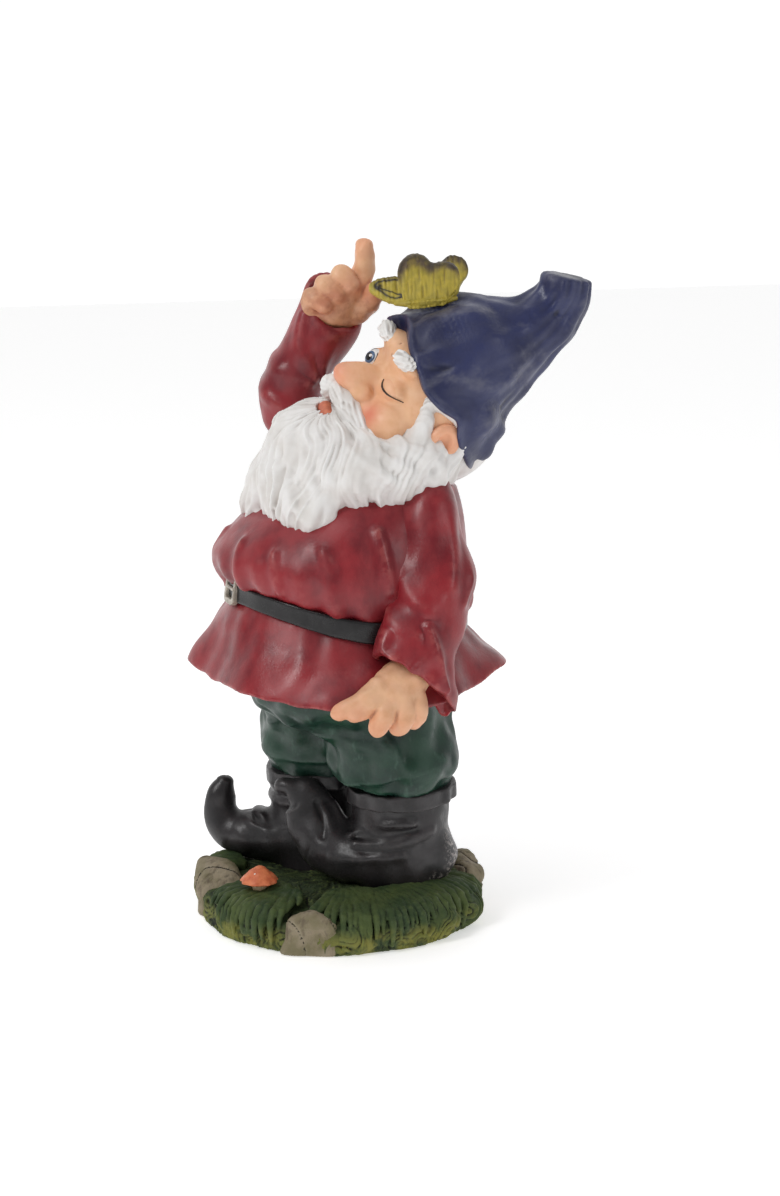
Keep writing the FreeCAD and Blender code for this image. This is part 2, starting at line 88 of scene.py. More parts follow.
def spline(stations, count):
    """Stations resampled along a smooth curve through them."""
    s = np.array(stations, float)
    t = np.linspace(0, len(s) - 1, count)
    i = np.clip(t.astype(int), 0, len(s) - 2)
    u = (t - i)[:, None]
    before, a, b, after = s[np.maximum(i - 1, 0)], s[i], s[i + 1], s[np.minimum(i + 2, len(s) - 1)]
    m, n = (b - before) / 2, (after - a) / 2
    return ((2 * u**3 - 3 * u**2 + 1) * a + (u**3 - 2 * u**2 + u) * m
            + (3 * u**2 - 2 * u**3) * b + (u**3 - u**2) * n)


def turned(yaw, pitch, roll):
    """Columns are the left, back and up of something turned about Z, tipped back and leant to its left."""
    y, p, r = (math.radians(a) for a in (yaw, -pitch, roll))
    about_z = np.array([[math.cos(y), -math.sin(y), 0], [math.sin(y), math.cos(y), 0], [0, 0, 1]])
    about_x = np.array([[1, 0, 0], [0, math.cos(p), -math.sin(p)], [0, math.sin(p), math.cos(p)]])
    about_y = np.array([[math.cos(r), 0, math.sin(r)], [0, 1, 0], [-math.sin(r), 0, math.cos(r)]])
    return about_z @ about_x @ about_y


class Waves:
    """Smooth seeded noise from about -1 to 1: plane waves of about one wavelength in random directions."""

    def __init__(self, wavelength, seed, stretch=(1, 1, 1)):
        count = 9
        random = np.random.default_rng(seed)
        direction = random.normal(size=(count, 3))
        direction /= length(direction)[:, None]
        lengths = wavelength * random.uniform(0.75, 1.35, (count, 1))
        self.k = direction * (2 * math.pi / lengths) / np.array(stretch)
        self.phase = random.uniform(0, 2 * math.pi, count)

    def __call__(self, p):
        return np.sin(p @ self.k.T + self.phase).sum(1) / (0.75 * len(self.phase) ** 0.5 * 1.4)


# ---------------------------------------------------------------- distances
def blob(centre, radii, turn=None):
    """An ellipsoid."""
    centre, radii = np.array(centre, float), np.array(radii, float)

    def distance(p):
        q = p - centre
        if turn is not None:
            q = q @ turn
        near = length(q / radii)
        return near * (near - 1) / np.maximum(length(q / radii**2), 1e-6)
    return distance


def joined(blend, *parts):
    def distance(p):
        d = parts[0](p)
        for part in parts[1:]:
            d = smooth_min(d, part(p), blend)
        return d
    return distance


def above_floor(d, p):
    """A distance cut off flat just above the floor."""
    return smooth_max(d, FLOOR_GAP - p[:, 2], 0.8)


def rounded_box(excess, corner):
    """The distance to a box-like shape, given how far each point lies past each pair of its faces."""
    excess = np.stack(excess, 1)
    return length(np.maximum(excess, 0)) + np.minimum(excess.max(1), 0) - corner


def tube_distance(p, points, radii):
    """A tapering round rod along a polyline."""
    best = np.full(len(p), 1e9)
    for a, b, ra, rb in zip(points[:-1], points[1:], radii[:-1], radii[1:]):
        along = b - a
        t = np.clip((p - a) @ along / (along @ along), 0, 1)
        best = np.minimum(best, length(p - a - t[:, None] * along) - (ra + (rb - ra) * t))
    return best


def with_tubes(base, tubes, blend):
    """base with many tapering rods melted on. A rod is (points, radii); only points near it are measured."""
    def distance(p):
        d = base(p)
        for points, radii in tubes:
            reach = radii.max() + blend + 3
            near = np.all((p > points.min(0) - reach) & (p < points.max(0) + reach), axis=1).nonzero()[0]
            if near.size:
                d[near] = smooth_min(d[near], tube_distance(p[near], points, radii), blend)
        return d
    return distance


def creases(p, lines, width, height):
    """How far soft ridges along polylines stand out at each point."""
    total = np.zeros(len(p))
    for line in lines:
        points = spline(line, 4 * len(line))
        near = np.all((p > points.min(0) - 3 * width) & (p < points.max(0) + 3 * width), axis=1).nonzero()[0]
        if near.size:
            d = tube_distance(p[near], points, np.zeros(len(points)))
            total[near] = np.maximum(total[near], np.exp(-(d / width) ** 2))
    return total * height


class Stack:
    """Ellipses one above another. A station is (x, y, z, half_width, half_depth, tilt in degrees)."""

    def __init__(self, stations):
        self.table = spline(stations, 12 * len(stations))
        self.slant = np.gradient(self.table[:, 3], self.table[:, 2])

    def place(self, p):
        """Each point's level, angle about the axis, radius, and the ellipse's radius there."""
        z, table = p[:, 2], self.table
        tilt = np.interp(z, table[:, 2], np.radians(table[:, 5]))
        level = z + (p[:, 1] - np.interp(z, table[:, 2], table[:, 1])) * np.tan(tilt)
        x, y, wide, deep = (np.interp(level, table[:, 2], table[:, i]) for i in (0, 1, 3, 4))
        dx, dy = p[:, 0] - x, p[:, 1] - y
        radius = np.hypot(dx, dy) + 1e-6
        edge = radius / np.maximum(np.hypot(dx / wide, dy / deep), 1e-6)
        return level, np.arctan2(dy, dx), radius, edge, np.interp(level, table[:, 2], self.slant)

    def __call__(self, p, extra=None):
        level, angle, radius, edge, slant = self.place(p)
        side = radius - edge
        if extra is not None:
            side = side - extra(level, angle, p)
        side = side / np.sqrt(1 + slant**2)
        return smooth_max(side, np.maximum(self.table[0, 2] - level, level - self.table[-1, 2]), 1.5)


class Sweep:
    """Ellipses along a path. A station is (x, y, z, half_width, half_depth)."""

    def __init__(self, stations, side=(1, 0, 0), samples=64, round_ends=(True, True), corner=1.5):
        fine = spline(stations, samples)
        self.centre, self.wide, self.deep = fine[:, :3], fine[:, 3], fine[:, 4]
        self.along = np.gradient(self.centre, axis=0)
        self.step = length(self.along)
        self.along = self.along / self.step[:, None]
        side = np.array(side, float)
        self.across = side - (self.along @ side)[:, None] * self.along
        self.across /= length(self.across)[:, None]
        self.through = np.cross(self.along, self.across)
        self.round_ends, self.corner = round_ends, corner

    def place(self, p):
        """Each point's place along the path (0 to 1), angle, radius, ellipse's radius, and the overrun."""
        last = len(self.centre) - 1
        s = np.empty(len(p))
        for i in range(0, len(p), 60000):
            q = p[i:i + 60000]
            s[i:i + 60000] = (length(self.centre)**2 - 2 * q @ self.centre.T).argmin(1)
        numbers = np.arange(last + 1)
        for _ in range(3):
            i = np.clip(np.rint(s).astype(int), 0, last)
            over = np.einsum("ij,ij->i", p - self.centre[i], self.along[i]) - (s - i) * self.step[i]
            s = np.clip(s + 0.8 * over / self.step[i], 0, last)
        i = np.clip(np.rint(s).astype(int), 0, last)
        centre = np.stack([np.interp(s, numbers, self.centre[:, k]) for k in range(3)], 1)
        q = p - centre
        over = np.einsum("ij,ij->i", q, self.along[i])
        a, b = np.einsum("ij,ij->i", q, self.across[i]), np.einsum("ij,ij->i", q, self.through[i])
        wide, deep = np.interp(s, numbers, self.wide), np.interp(s, numbers, self.deep)
        radius = np.hypot(a, b) + 1e-6
        edge = radius / np.maximum(np.hypot(a / wide, b / deep), 1e-6)
        return s / last, np.arctan2(b, a), radius, edge, over

    def __call__(self, p, extra=None):
        s, angle, radius, edge, over = self.place(p)
        side = radius - edge
        if extra is not None:
            side = side - extra(s, angle, p)
        beyond = np.where(s <= 0, -over, np.where(s >= 1, over, 0))
        round_here = np.where(s < 0.5, self.round_ends[0], self.round_ends[1])
        domed = np.where(beyond > 0, np.hypot(radius, beyond * 1.3) - edge, side)
        short = -np.minimum(s, 1 - s) * self.step.sum()
        flat = smooth_max(side, np.where(beyond > 0, beyond, short), self.corner)
        return np.where(round_here, domed, flat)


# ---------------------------------------------------------------- from distance to mesh
def sampled(distance, low, high, step):
    """Distances on a grid, worked out exactly only near the surface."""
    block = 6
    low = np.array(low, float)
    blocks = np.ceil((np.array(high, float) - low) / (step * block)).astype(int)
    middle = low + (np.indices(blocks).reshape(3, -1).T + 0.5) * block * step
    rough = distance(middle)
    near = (np.abs(rough) < block * step * 1.15 + 3.5).reshape(blocks)
    sign = np.where(rough < 0, -1.0, 1.0).reshape(blocks)
    values = np.ones(blocks * block + 1)
    spread = sign.repeat(block, 0).repeat(block, 1).repeat(block, 2)
    values[:-1, :-1, :-1] = spread
    values[-1], values[:, -1], values[:, :, -1] = values[-2], values[:, -2], values[:, :, -2]
    inner = near.repeat(block, 0).repeat(block, 1).repeat(block, 2)
    mark = np.zeros(values.shape, bool)
    for i in (0, 1):
        for j in (0, 1):
            for k in (0, 1):
                mark[i:i + inner.shape[0], j:j + inner.shape[1], k:k + inner.shape[2]] |= inner
    points = np.argwhere(mark)
    exact = np.empty(len(points))
    for i in range(0, len(points), 200000):
        exact[i:i + 200000] = distance(low + points[i:i + 200000] * step)
    values[mark] = exact
    return low, values


CORNERS = np.array([(i, j, k) for i in (0, 1) for j in (0, 1) for k in (0, 1)])
EDGES = [(a, b) for a in range(8) for b in range(a + 1, 8) if np.abs(CORNERS[a] - CORNERS[b]).sum() == 1]


def surface(distance, low, high, step):
    """A closed quad mesh of where the distance is zero."""
    low, values = sampled(distance, low, high, step)
    for axis in range(3):
        rim = np.moveaxis(values, axis, 0)
        rim[0] = np.maximum(rim[0], 0.1)
        rim[-1] = np.maximum(rim[-1], 0.1)
    inside = values < 0
    n = np.array(values.shape) - 1
    count = sum(inside[i:i + n[0], j:j + n[1], k:k + n[2]].astype(np.int8) for i, j, k in CORNERS)
    active = (count > 0) & (count < 8)
    number = np.full(active.shape, -1)
    number[active] = np.arange(active.sum())
    cells = np.argwhere(active)
    corner = np.stack([values[tuple((cells + c).T)] for c in CORNERS], 1)
    place, found = np.zeros((len(cells), 3)), np.zeros(len(cells))
    for a, b in EDGES:
        va, vb = corner[:, a], corner[:, b]
        cross = (va < 0) != (vb < 0)
        t = va[cross] / (va[cross] - vb[cross])
        place[cross] += CORNERS[a] + t[:, None] * (CORNERS[b] - CORNERS[a])
        found[cross] += 1
    points = low + (cells + place / found[:, None]) * step
    faces = []
    for axis in range(3):
        u, v = (axis + 1) % 3, (axis + 2) % 3
        here = [slice(1, -1)] * 3
        here[axis] = slice(0, -1)
        there = list(here)
        there[axis] = slice(1, None)
        a, b = inside[tuple(here)], inside[tuple(there)]
        cells = np.argwhere(a != b) + np.array([0 if i == axis else 1 for i in range(3)])
        flip = b[a != b]
        unit = np.eye(3, dtype=int)
        ring = [cells, cells - unit[u], cells - unit[u] - unit[v], cells - unit[v]]
        quad = np.stack([number[tuple(c.T)] for c in ring], 1)
        quad[flip] = quad[flip][:, ::-1]
        faces.append(quad)
    return points, np.concatenate(faces)


def slope(distance, p, reach):
    """The distance's gradient, from four points round each one."""
    signs = np.array([(1, -1, -1), (-1, -1, 1), (-1, 1, -1), (1, 1, 1)], float)
    total = np.zeros_like(p)
    for s in signs:
        total += distance(p + s * reach)[:, None] * s
    return total / (4 * reach)


def hollowness(distance, p, reach):
    """Above 0 in grooves and below 0 on ridges: how much nearer the solid is all round than at the point."""
    around = np.zeros(len(p))
    for axis in range(3):
        for sign in (-1, 1):
            q = p.copy()
            q[:, axis] += sign * reach
            around += distance(q)
    return -(around / 6 - distance(p)) / reach


def largest(points, faces):
    """Only the largest connected mesh."""
    label = np.arange(len(points))
    edges = np.concatenate([faces[:, [0, 1]], faces[:, [1, 2]], faces[:, [2, 3]]])
    while True:
        low = np.minimum(label[edges[:, 0]], label[edges[:, 1]])
        new = label.copy()
        np.minimum.at(new, edges[:, 0], low)
        np.minimum.at(new, edges[:, 1], low)
        new = new[new]
        if (new == label).all():
            break
        label = new
    keep = label == np.bincount(label).argmax()
    renumber = np.cumsum(keep) - 1
    return points[keep], renumber[faces[keep[faces[:, 0]]]]


def build_mesh(name, points, faces, marks=None):
    """A smooth-shaded Blender mesh from millimetres, with a number at each point for each painted mark."""
    mesh = bpy.data.meshes.new(name)
    mesh.vertices.add(len(points))
    mesh.vertices.foreach_set("co", (points * MM).astype(np.float32).ravel())
    size = faces.shape[1]
    mesh.loops.add(faces.size)
    mesh.loops.foreach_set("vertex_index", faces.astype(np.int32).ravel())
    mesh.polygons.add(len(faces))
    mesh.polygons.foreach_set("loop_start", np.arange(0, faces.size, size, dtype=np.int32))
    mesh.update(calc_edges=True)
    mesh.validate()
    mesh.polygons.foreach_set("use_smooth", np.ones(len(mesh.polygons), bool))
    for key, value in (marks or {}).items():
        layer = mesh.attributes.new(key, "FLOAT", "POINT")
        layer.data.foreach_set("value", np.asarray(value, np.float32))
    piece = bpy.data.objects.new(name, mesh)
    bpy.context.scene.collection.objects.link(piece)
    return piece


def sculpt(name, distance, low, high, step, material, slot, nodes, reach=1.3, marks=None):
    """Meshes a distance function and marks its grooves and ridges for the paint."""
    step = step * COARSE
    points, faces = largest(*surface(distance, low, high, step))
    for _ in range(2):
        gradient = slope(distance, points, 0.25 * step)
        size = np.maximum(length(gradient), 0.3)
        move = (distance(points) / size**2)[:, None] * gradient
        limit = 0.6 * step / np.maximum(length(move), 0.6 * step)
        points = points - move * limit[:, None]
    groove = hollowness(distance, points, reach)
    layers = {"groove": np.clip(groove * 2.2, 0, 1), "ridge": np.clip(-groove * 2.2, 0, 1)}
    layers.update({key: paint(points) for key, paint in (marks or {}).items()})
    piece = build_mesh(name, points, faces, layers)
    return place(piece, material, slot, nodes)


def place(piece, material, slot, nodes):
    piece.data.materials.append(material)
    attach(piece, "root")
    if nodes:
        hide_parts(*nodes)
    print(f"{piece.name}: {len(piece.data.polygons)} faces")
    return piece


# ---------------------------------------------------------------- paint
class Paint:
    """Base coat, cloudy variation, dark paint and painted shade in hollows, dry brushing and painted
    highlight on ridges.
    """

    def __init__(self, name, base, rough, specular=0.5, coat=0.0):
        self.material = bpy.data.materials.new(name)
        self.material.use_nodes = True
        self.tree = self.material.node_tree
        self.shader = self.tree.nodes["Principled BSDF"]
        self.shader.inputs["Specular IOR Level"].default_value = specular
        self.shader.inputs["Coat Weight"].default_value = coat
        self.shader.inputs["Coat Roughness"].default_value = 0.25
        self.shader.inputs["Roughness"].default_value = rough
        self.place = self.tree.nodes.new("ShaderNodeTexCoord").outputs["Object"]
        self.colour = None
        self.base = (*base, 1)

    def node(self, kind, **values):
        made = self.tree.nodes.new(kind)
        for key, value in values.items():
            setattr(made, key, value)
        return made

    def noise(self, size, detail=3.0, rough=0.55, stretch=(1, 1, 1), contrast=(0.35, 0.65)):
        """Noise of about `size` millimetres, spread to run from 0 to 1."""
        mapping = self.node("ShaderNodeMapping")
        mapping.inputs["Scale"].default_value = [s / (size * MM) for s in stretch]
        self.tree.links.new(self.place, mapping.inputs["Vector"])
        noise = self.node("ShaderNodeTexNoise")
        noise.inputs["Scale"].default_value = 1.0
        noise.inputs["Detail"].default_value = detail
        noise.inputs["Roughness"].default_value = rough
        self.tree.links.new(mapping.outputs[0], noise.inputs["Vector"])
        return self.spread(noise.outputs["Fac"], *contrast)

    def spread(self, value, low, high, to=(0.0, 1.0)):
        remap = self.node("ShaderNodeMapRange", interpolation_type="SMOOTHSTEP")
        remap.inputs["From Min"].default_value = low
        remap.inputs["From Max"].default_value = high
        remap.inputs["To Min"].default_value, remap.inputs["To Max"].default_value = to
        self.tree.links.new(value, remap.inputs["Value"])
        return remap.outputs["Result"]

    def mark(self, name):
        return self.node("ShaderNodeAttribute", attribute_name=name).outputs["Fac"]

    def times(self, a, b):
        product = self.node("ShaderNodeMath", operation="MULTIPLY")
        for socket, value in zip(product.inputs, (a, b)):
            if isinstance(value, float):
                socket.default_value = value
            else:
                self.tree.links.new(value, socket)
        return product.outputs[0]

    def over(self, colour, amount):
        """Lays a colour over what is there; amount is a socket from 0 to 1."""
        mix = self.node("ShaderNodeMix", data_type="RGBA")
        self.tree.links.new(amount, mix.inputs[0])
        if self.colour is None:
            mix.inputs[6].default_value = self.base
        else:
            self.tree.links.new(self.colour, mix.inputs[6])
        mix.inputs[7].default_value = (*colour, 1)
        self.colour = mix.outputs[2]
        self.tree.links.new(self.colour, self.shader.inputs["Base Color"])
        return self

    def settled_paint_and_shade(self, colour, none, full, strength):
        """Darker colour where the surface is hollow: dark paint settled there, and painted shade."""
        return self.over(colour, self.spread(self.mark("groove"), none, full, (0.0, strength)))

    def dry_brush_and_highlight(self, colour, size, strengths):
        """Lighter colour on what stands out, broken up by noise: dry brushing, and painted highlight."""
        patches = self.spread(self.noise(size, 4), 0.2, 0.9, strengths)
        return self.over(colour, self.times(self.mark("ridge"), patches))

    def uneven_gloss(self, size, low, high):
        self.tree.links.new(self.spread(self.noise(size), 0, 1, (low, high)), self.shader.inputs["Roughness"])
        return self

    def relief(self, size, depth, stretch=(1, 1, 1), detail=4.0):
        bump = self.node("ShaderNodeBump")
        bump.inputs["Strength"].default_value = 1.0
        bump.inputs["Distance"].default_value = depth * MM
        self.tree.links.new(self.noise(size, detail, 0.6, stretch, (0.2, 0.8)), bump.inputs["Height"])
        self.tree.links.new(bump.outputs[0], self.shader.inputs["Normal"])
        return self


def linear(red, green, blue):
    """Screen colour numbers from 0 to 255 as scene-linear ones."""
    def one(c):
        c = c / 255
        return c / 12.92 if c <= 0.04045 else ((c + 0.055) / 1.055) ** 2.4
    return one(red), one(green), one(blue)


def coat_paint():
    p = Paint("coat_red_paint", linear(142, 34, 42), 0.36, 0.42, 0.1)
    p.over(linear(108, 22, 32), p.noise(26, 3))
    p.over(linear(156, 54, 58), p.times(p.noise(9, 4, 0.6, (1, 1, 0.35)), 0.3))
    p.dry_brush_and_highlight(linear(196, 112, 106), 5, (0.05, 0.6))
    p.settled_paint_and_shade(linear(48, 12, 20), 0.0, 0.6, 0.85)
    return p.uneven_gloss(14, 0.28, 0.44).relief(1.6, 0.05).material


def hat_paint():
    p = Paint("hat_blue_paint", linear(44, 50, 90), 0.48, 0.45, 0.08)
    p.over(linear(30, 35, 72), p.noise(24, 3))
    # pale streaks along the cloth: painted highlight
    p.over(linear(108, 108, 120), p.times(p.noise(13, 4, 0.6, (1, 0.35, 0.5), (0.52, 0.7)), 0.6))
    p.dry_brush_and_highlight(linear(96, 98, 122), 6, (0.1, 0.6))
    p.settled_paint_and_shade(linear(18, 20, 44), 0.0, 0.6, 0.8)
    return p.uneven_gloss(12, 0.34, 0.5).relief(1.4, 0.05).material


def trouser_paint():
    p = Paint("trouser_green_paint", linear(22, 58, 42), 0.4, 0.45, 0.08)
    p.over(linear(14, 42, 34), p.noise(22, 3))
    p.over(linear(78, 108, 94), p.times(p.noise(6, 4, 0.6, (1, 1, 0.4), (0.55, 0.75)), 0.4))
    p.dry_brush_and_highlight(linear(90, 118, 104), 6, (0.1, 0.6))
    p.settled_paint_and_shade(linear(8, 22, 18), 0.0, 0.6, 0.85)
    return p.uneven_gloss(12, 0.32, 0.55).relief(1.4, 0.05).material


def boot_paint():
    p = Paint("boot_black_paint", linear(42, 38, 40), 0.42, 0.5, 0.1)
    p.over(linear(26, 24, 26), p.noise(20, 3))
    p.dry_brush_and_highlight(linear(92, 86, 86), 5, (0.1, 0.7))
    p.over(linear(150, 142, 138), p.times(p.mark("scuff"), p.noise(2.2, 5, 0.7, (1, 1, 1), (0.5, 0.6))))
    p.settled_paint_and_shade(linear(12, 11, 12), 0.0, 0.6, 0.85)
    return p.uneven_gloss(10, 0.34, 0.55).relief(1.2, 0.06).material


def belt_paint():
    p = Paint("belt_black_paint", linear(14, 12, 14), 0.3, 0.4, 0.1)
    p.over(linear(24, 22, 24), p.noise(10, 3))
    return p.uneven_gloss(8, 0.26, 0.4).relief(2.0, 0.03).material


def buckle_paint():
    p = Paint("buckle_silver_paint", linear(186, 178, 164), 0.38, 0.6, 0.1)
    p.over(linear(140, 130, 116), p.noise(4, 3))
    p.settled_paint_and_shade(linear(60, 52, 46), 0.05, 0.5, 0.8)
    return p.uneven_gloss(3, 0.3, 0.5).relief(1.0, 0.04).material


def skin_paint():
    p = Paint("skin_paint", linear(236, 188, 148), 0.46, 0.45, 0.05)
    p.over(linear(226, 172, 130), p.noise(12, 3))
    p.over(linear(238, 188, 152), p.times(p.noise(5, 3), 0.5))
    # painted shade with some dirt: browner towards the wrist, strongly on the raised hand
    p.over(linear(160, 102, 74), p.times(p.mark("shade_and_dirt"), p.spread(p.noise(7, 3), 0, 1, (0.5, 1.0))))
    p.over(linear(222, 112, 92), p.mark("blush"))
    p.settled_paint_and_shade(linear(150, 84, 60), 0.05, 0.7, 0.75)
    p.shader.inputs["Subsurface Weight"].default_value = 0.06
    p.shader.inputs["Subsurface Radius"].default_value = (0.004, 0.0016, 0.001)
    return p.uneven_gloss(6, 0.4, 0.55).relief(0.9, 0.03).material


def hair_paint():
    p = Paint("hair_white_paint", linear(232, 230, 228), 0.6, 0.35)
    p.over(linear(220, 216, 212), p.noise(16, 3))
    p.settled_paint_and_shade(linear(186, 178, 172), 0.05, 0.8, 0.75)
    p.over(linear(206, 172, 156), p.times(p.mark("tint"), 0.5))
    # the locks that stand out are lighter: dry brushing and painted highlight
    p.over(linear(244, 243, 242), p.times(p.mark("ridge"), 0.8))
    return p.uneven_gloss(8, 0.52, 0.72).relief(0.8, 0.05).material


def lip_paint():
    p = Paint("lip_paint", linear(222, 132, 98), 0.4)
    p.over(linear(196, 104, 78), p.noise(4, 3))
    return p.uneven_gloss(3, 0.34, 0.5).relief(0.9, 0.03).material


def ground_paint():
    p = Paint("ground_paint", linear(60, 74, 42), 0.75, 0.3)
    p.over(linear(42, 56, 34), p.noise(22, 4))
    p.over(linear(124, 124, 58), p.times(p.mark("yellow"), p.noise(12, 4, 0.6, (1, 1, 1), (0.4, 0.6))))
    # lighter on what stands out: dry brushing and painted highlight
    p.over(linear(112, 122, 68), p.times(p.mark("ridge"), p.noise(4, 4)))
    p.settled_paint_and_shade(linear(22, 24, 16), 0.0, 0.6, 0.85)
    return p.uneven_gloss(8, 0.65, 0.85).relief(1.2, 0.25).material


def grass_paint():
    p = Paint("grass_paint", linear(72, 86, 46), 0.7, 0.3)
    p.over(linear(48, 66, 38), p.noise(22, 3))
    p.over(linear(128, 126, 58), p.times(p.mark("yellow"), p.noise(12, 4, 0.6, (1, 1, 1), (0.4, 0.6))))
    p.dry_brush_and_highlight(linear(104, 116, 64), 7, (0.1, 0.75))
    p.settled_paint_and_shade(linear(14, 20, 12), 0.0, 0.7, 0.9)
    return p.uneven_gloss(8, 0.6, 0.8).relief(1.0, 0.12).material


def stone_paint():
    p = Paint("stone_paint", linear(150, 138, 116), 0.72, 0.3)
    p.over(linear(120, 112, 84), p.noise(12, 4))
    p.over(linear(98, 86, 72), p.times(p.noise(5, 5, 0.65, (1, 1, 0.5), (0.5, 0.7)), 0.8))
    # lighter on what stands out: dry brushing and painted highlight
    p.over(linear(168, 158, 138), p.times(p.mark("ridge"), p.noise(3, 4)))
    p.settled_paint_and_shade(linear(38, 34, 28), 0.0, 0.5, 0.9)
    return p.uneven_gloss(8, 0.62, 0.82).relief(0.9, 0.2).material


def mushroom_paint(name, base, dark):
    p = Paint(name, base, 0.45)
    p.over(dark, p.noise(5, 3))
    p.settled_paint_and_shade(linear(120, 60, 36), 0.05, 0.6, 0.7)
    return p.uneven_gloss(4, 0.38, 0.55).relief(1.0, 0.08).material


def wing_paint():
    p = Paint("butterfly_paint", linear(188, 168, 62), 0.5)
    p.over(linear(166, 150, 58), p.noise(5, 3))
    p.settled_paint_and_shade(linear(120, 104, 60), 0.05, 0.6, 0.6)
    p.over(linear(86, 72, 58), p.times(p.mark("edge"), p.spread(p.noise(5, 3), 0, 1, (0.75, 1.0))))
    p.over(linear(40, 34, 30), p.mark("dark"))
    return p.uneven_gloss(4, 0.42, 0.6).relief(0.8, 0.04).material


def plain_paint(name, colour, other, rough):
    p = Paint(name, colour, rough)
    p.over(other, p.noise(1.5, 2))
    return p.uneven_gloss(2, rough * 0.8, rough * 1.2).relief(0.6, 0.01).material


# ---------------------------------------------------------------- base
RIM_LUMPS, TOP_LUMPS, SOIL, CLODS = Waves(38, 1), Waves(17, 2), Waves(3.4, 3), Waves(9, 4)
TURF_RADIUS = BASE_RADIUS - 9        # where the top begins to round over the rim


def ground(p):
    r = np.hypot(p[:, 0], p[:, 1])
    flat = p * (1, 1, 0.3)
    side = r - (BASE_RADIUS - 1.2 + 1.6 * RIM_LUMPS(flat))
    top = p[:, 2] - (BASE_TOP - 2.0 + 0.9 * TOP_LUMPS(flat) - 2.5 * ramp(r, 40, BASE_RADIUS))
    return above_floor(smooth_max(side, top, 11) - combed(p), p)


def combed(p):
    """Short grass combed outwards and down, as grooves that sway as they go."""
    angle = np.arctan2(p[:, 1], p[:, 0]) + 0.10 * TOP_LUMPS(p) + 0.06 * np.sin(p[:, 2] * 0.35)
    outward = np.hypot(p[:, 0], p[:, 1]) - p[:, 2]
    along = np.stack([70 * np.cos(angle), 70 * np.sin(angle), 0.12 * outward], 1)
    return 0.45 * SOIL(along) + 0.4 * CLODS(along)


CRACKS, STONE_LUMPS, STONE_GRAIN = Waves(34, 21), Waves(19, 24), Waves(3.4, 25, (1, 1, 2.5))


def stone(centre, radii, turn):
    """A boulder set into the rim: lumpy, finely pitted, with a crack or two."""
    body = blob(centre, radii, turned(turn, 0, 0))

    def distance(p):
        upper = p.copy()
        upper[:, 2] = np.maximum(upper[:, 2], centre[2])
        d = body(upper) - 1.3 * STONE_LUMPS(p) - 0.22 * STONE_GRAIN(p)
        rim = np.hypot(p[:, 0], p[:, 1]) - (BASE_RADIUS + 1.5 + 1.2 * STONE_LUMPS(p))
        return above_floor(smooth_max(d, rim, 5) + 1.0 * np.exp(-(CRACKS(p) / 0.05) ** 2), p)
    return distance


def on_turf(angle, reach, lift):
    """A point on the base, `reach` from the middle along its top and over the rim, and `lift` off it."""
    bend, top = 9.0, BASE_TOP - 2.5
    over = max(reach - TURF_RADIUS, 0) / bend
    if over < math.pi / 2:
        r = min(reach, TURF_RADIUS) + bend * math.sin(over)
        z = top - bend * (1 - math.cos(over))
    else:
        r = TURF_RADIUS + bend
        z = top - bend - bend * (over - math.pi / 2)
    slant = min(over, math.pi / 2)
    r, z = r + lift * math.sin(slant), z + lift * math.cos(slant)
    return r * math.cos(angle), r * math.sin(angle), max(z, 1.5)


def tuft(middle, root_reach, spread, count, seed):
    """Blades that fan out from a root near the rim and droop over it. Angles are in degrees about Z."""
    random = np.random.default_rng(seed)
    blades = []
    for row in range(3):
        for i in range(count):
            share = (i + 0.5 * row + random.uniform(-0.2, 0.2)) / count - 0.5
            reach = (1.0 - 0.27 * row) * random.uniform(42, 52)
            swing = 2 * share * spread
            points = []
            for t in np.linspace(0, 1, 9):
                angle = math.radians(middle + swing * (0.22 + 0.78 * math.sin(t * 1.6)))
                droop = root_reach + reach * t * (1 - 0.35 * abs(share) * t)
                lift = 0.3 + 2.0 * math.sin(math.pi * t) + 0.9 * row
                points.append(on_turf(angle, droop, lift))
            widths = np.interp(np.linspace(0, 1, 9), [0, 0.25, 0.7, 1], [1.5, 2.7, 2.5, 0.9])
            blades.append((np.array(points), widths * random.uniform(0.85, 1.1)))
    return blades


TUFTS = {
    # node: (fans as (middle angle, root's reach, half spread, blades, seed), the mounds under them)
    "grass_front": ([(-66, 40, 20, 11, 31), (-52, 44, 12, 7, 41)],
                    [((20, -68, 10), (15, 11, 12)), ((38, -58, 11), (13, 13, 12))]),
    "grass_left_side": ([(-12, 38, 20, 11, 42), (6, 42, 18, 10, 32), (28, 42, 20, 11, 33),
                         (52, 46, 20, 10, 34)],
                        [((72, -14, 9), (9, 14, 12)), ((70, 8, 10), (11, 18, 13)),
                         ((62, 30, 10), (15, 20, 13)), ((46, 52, 10), (17, 18, 13))]),
    "grass_toe": ([(-122, 56, 13, 7, 35)], [((-42, -60, 14), (12, 10, 9))]),
    "grass_back": ([(104, 46, 20, 9, 36), (136, 46, 20, 9, 37)],
                   [((-18, 66, 10), (16, 12, 12)), ((-48, 52, 10), (15, 14, 12))]),
    "grass_right_side": ([(-166, 46, 20, 9, 38), (-196, 46, 20, 9, 39)],
                         [((-66, -16, 9), (12, 17, 12)), ((-64, 18, 9), (12, 17, 12))]),
}
BLADE_GRAIN = Waves(5, 40)


def turf_clump(fans, mounds):
    """Fans of blades on low mounds of combed turf."""
    blades = []
    for fan in fans:
        blades += tuft(*fan)
    base = joined(4, *(blob(*mound) for mound in mounds))
    melted = with_tubes(lambda p: base(p) + 1.5 - combed(p), blades, 0.4)
    return lambda p: above_floor(melted(p) - 0.12 * BLADE_GRAIN(p), p)


def low_down(p):
    """1 near the ground, where the green turns yellow, falling to 0 above."""
    return ramp(-p[:, 2], -17, -5)


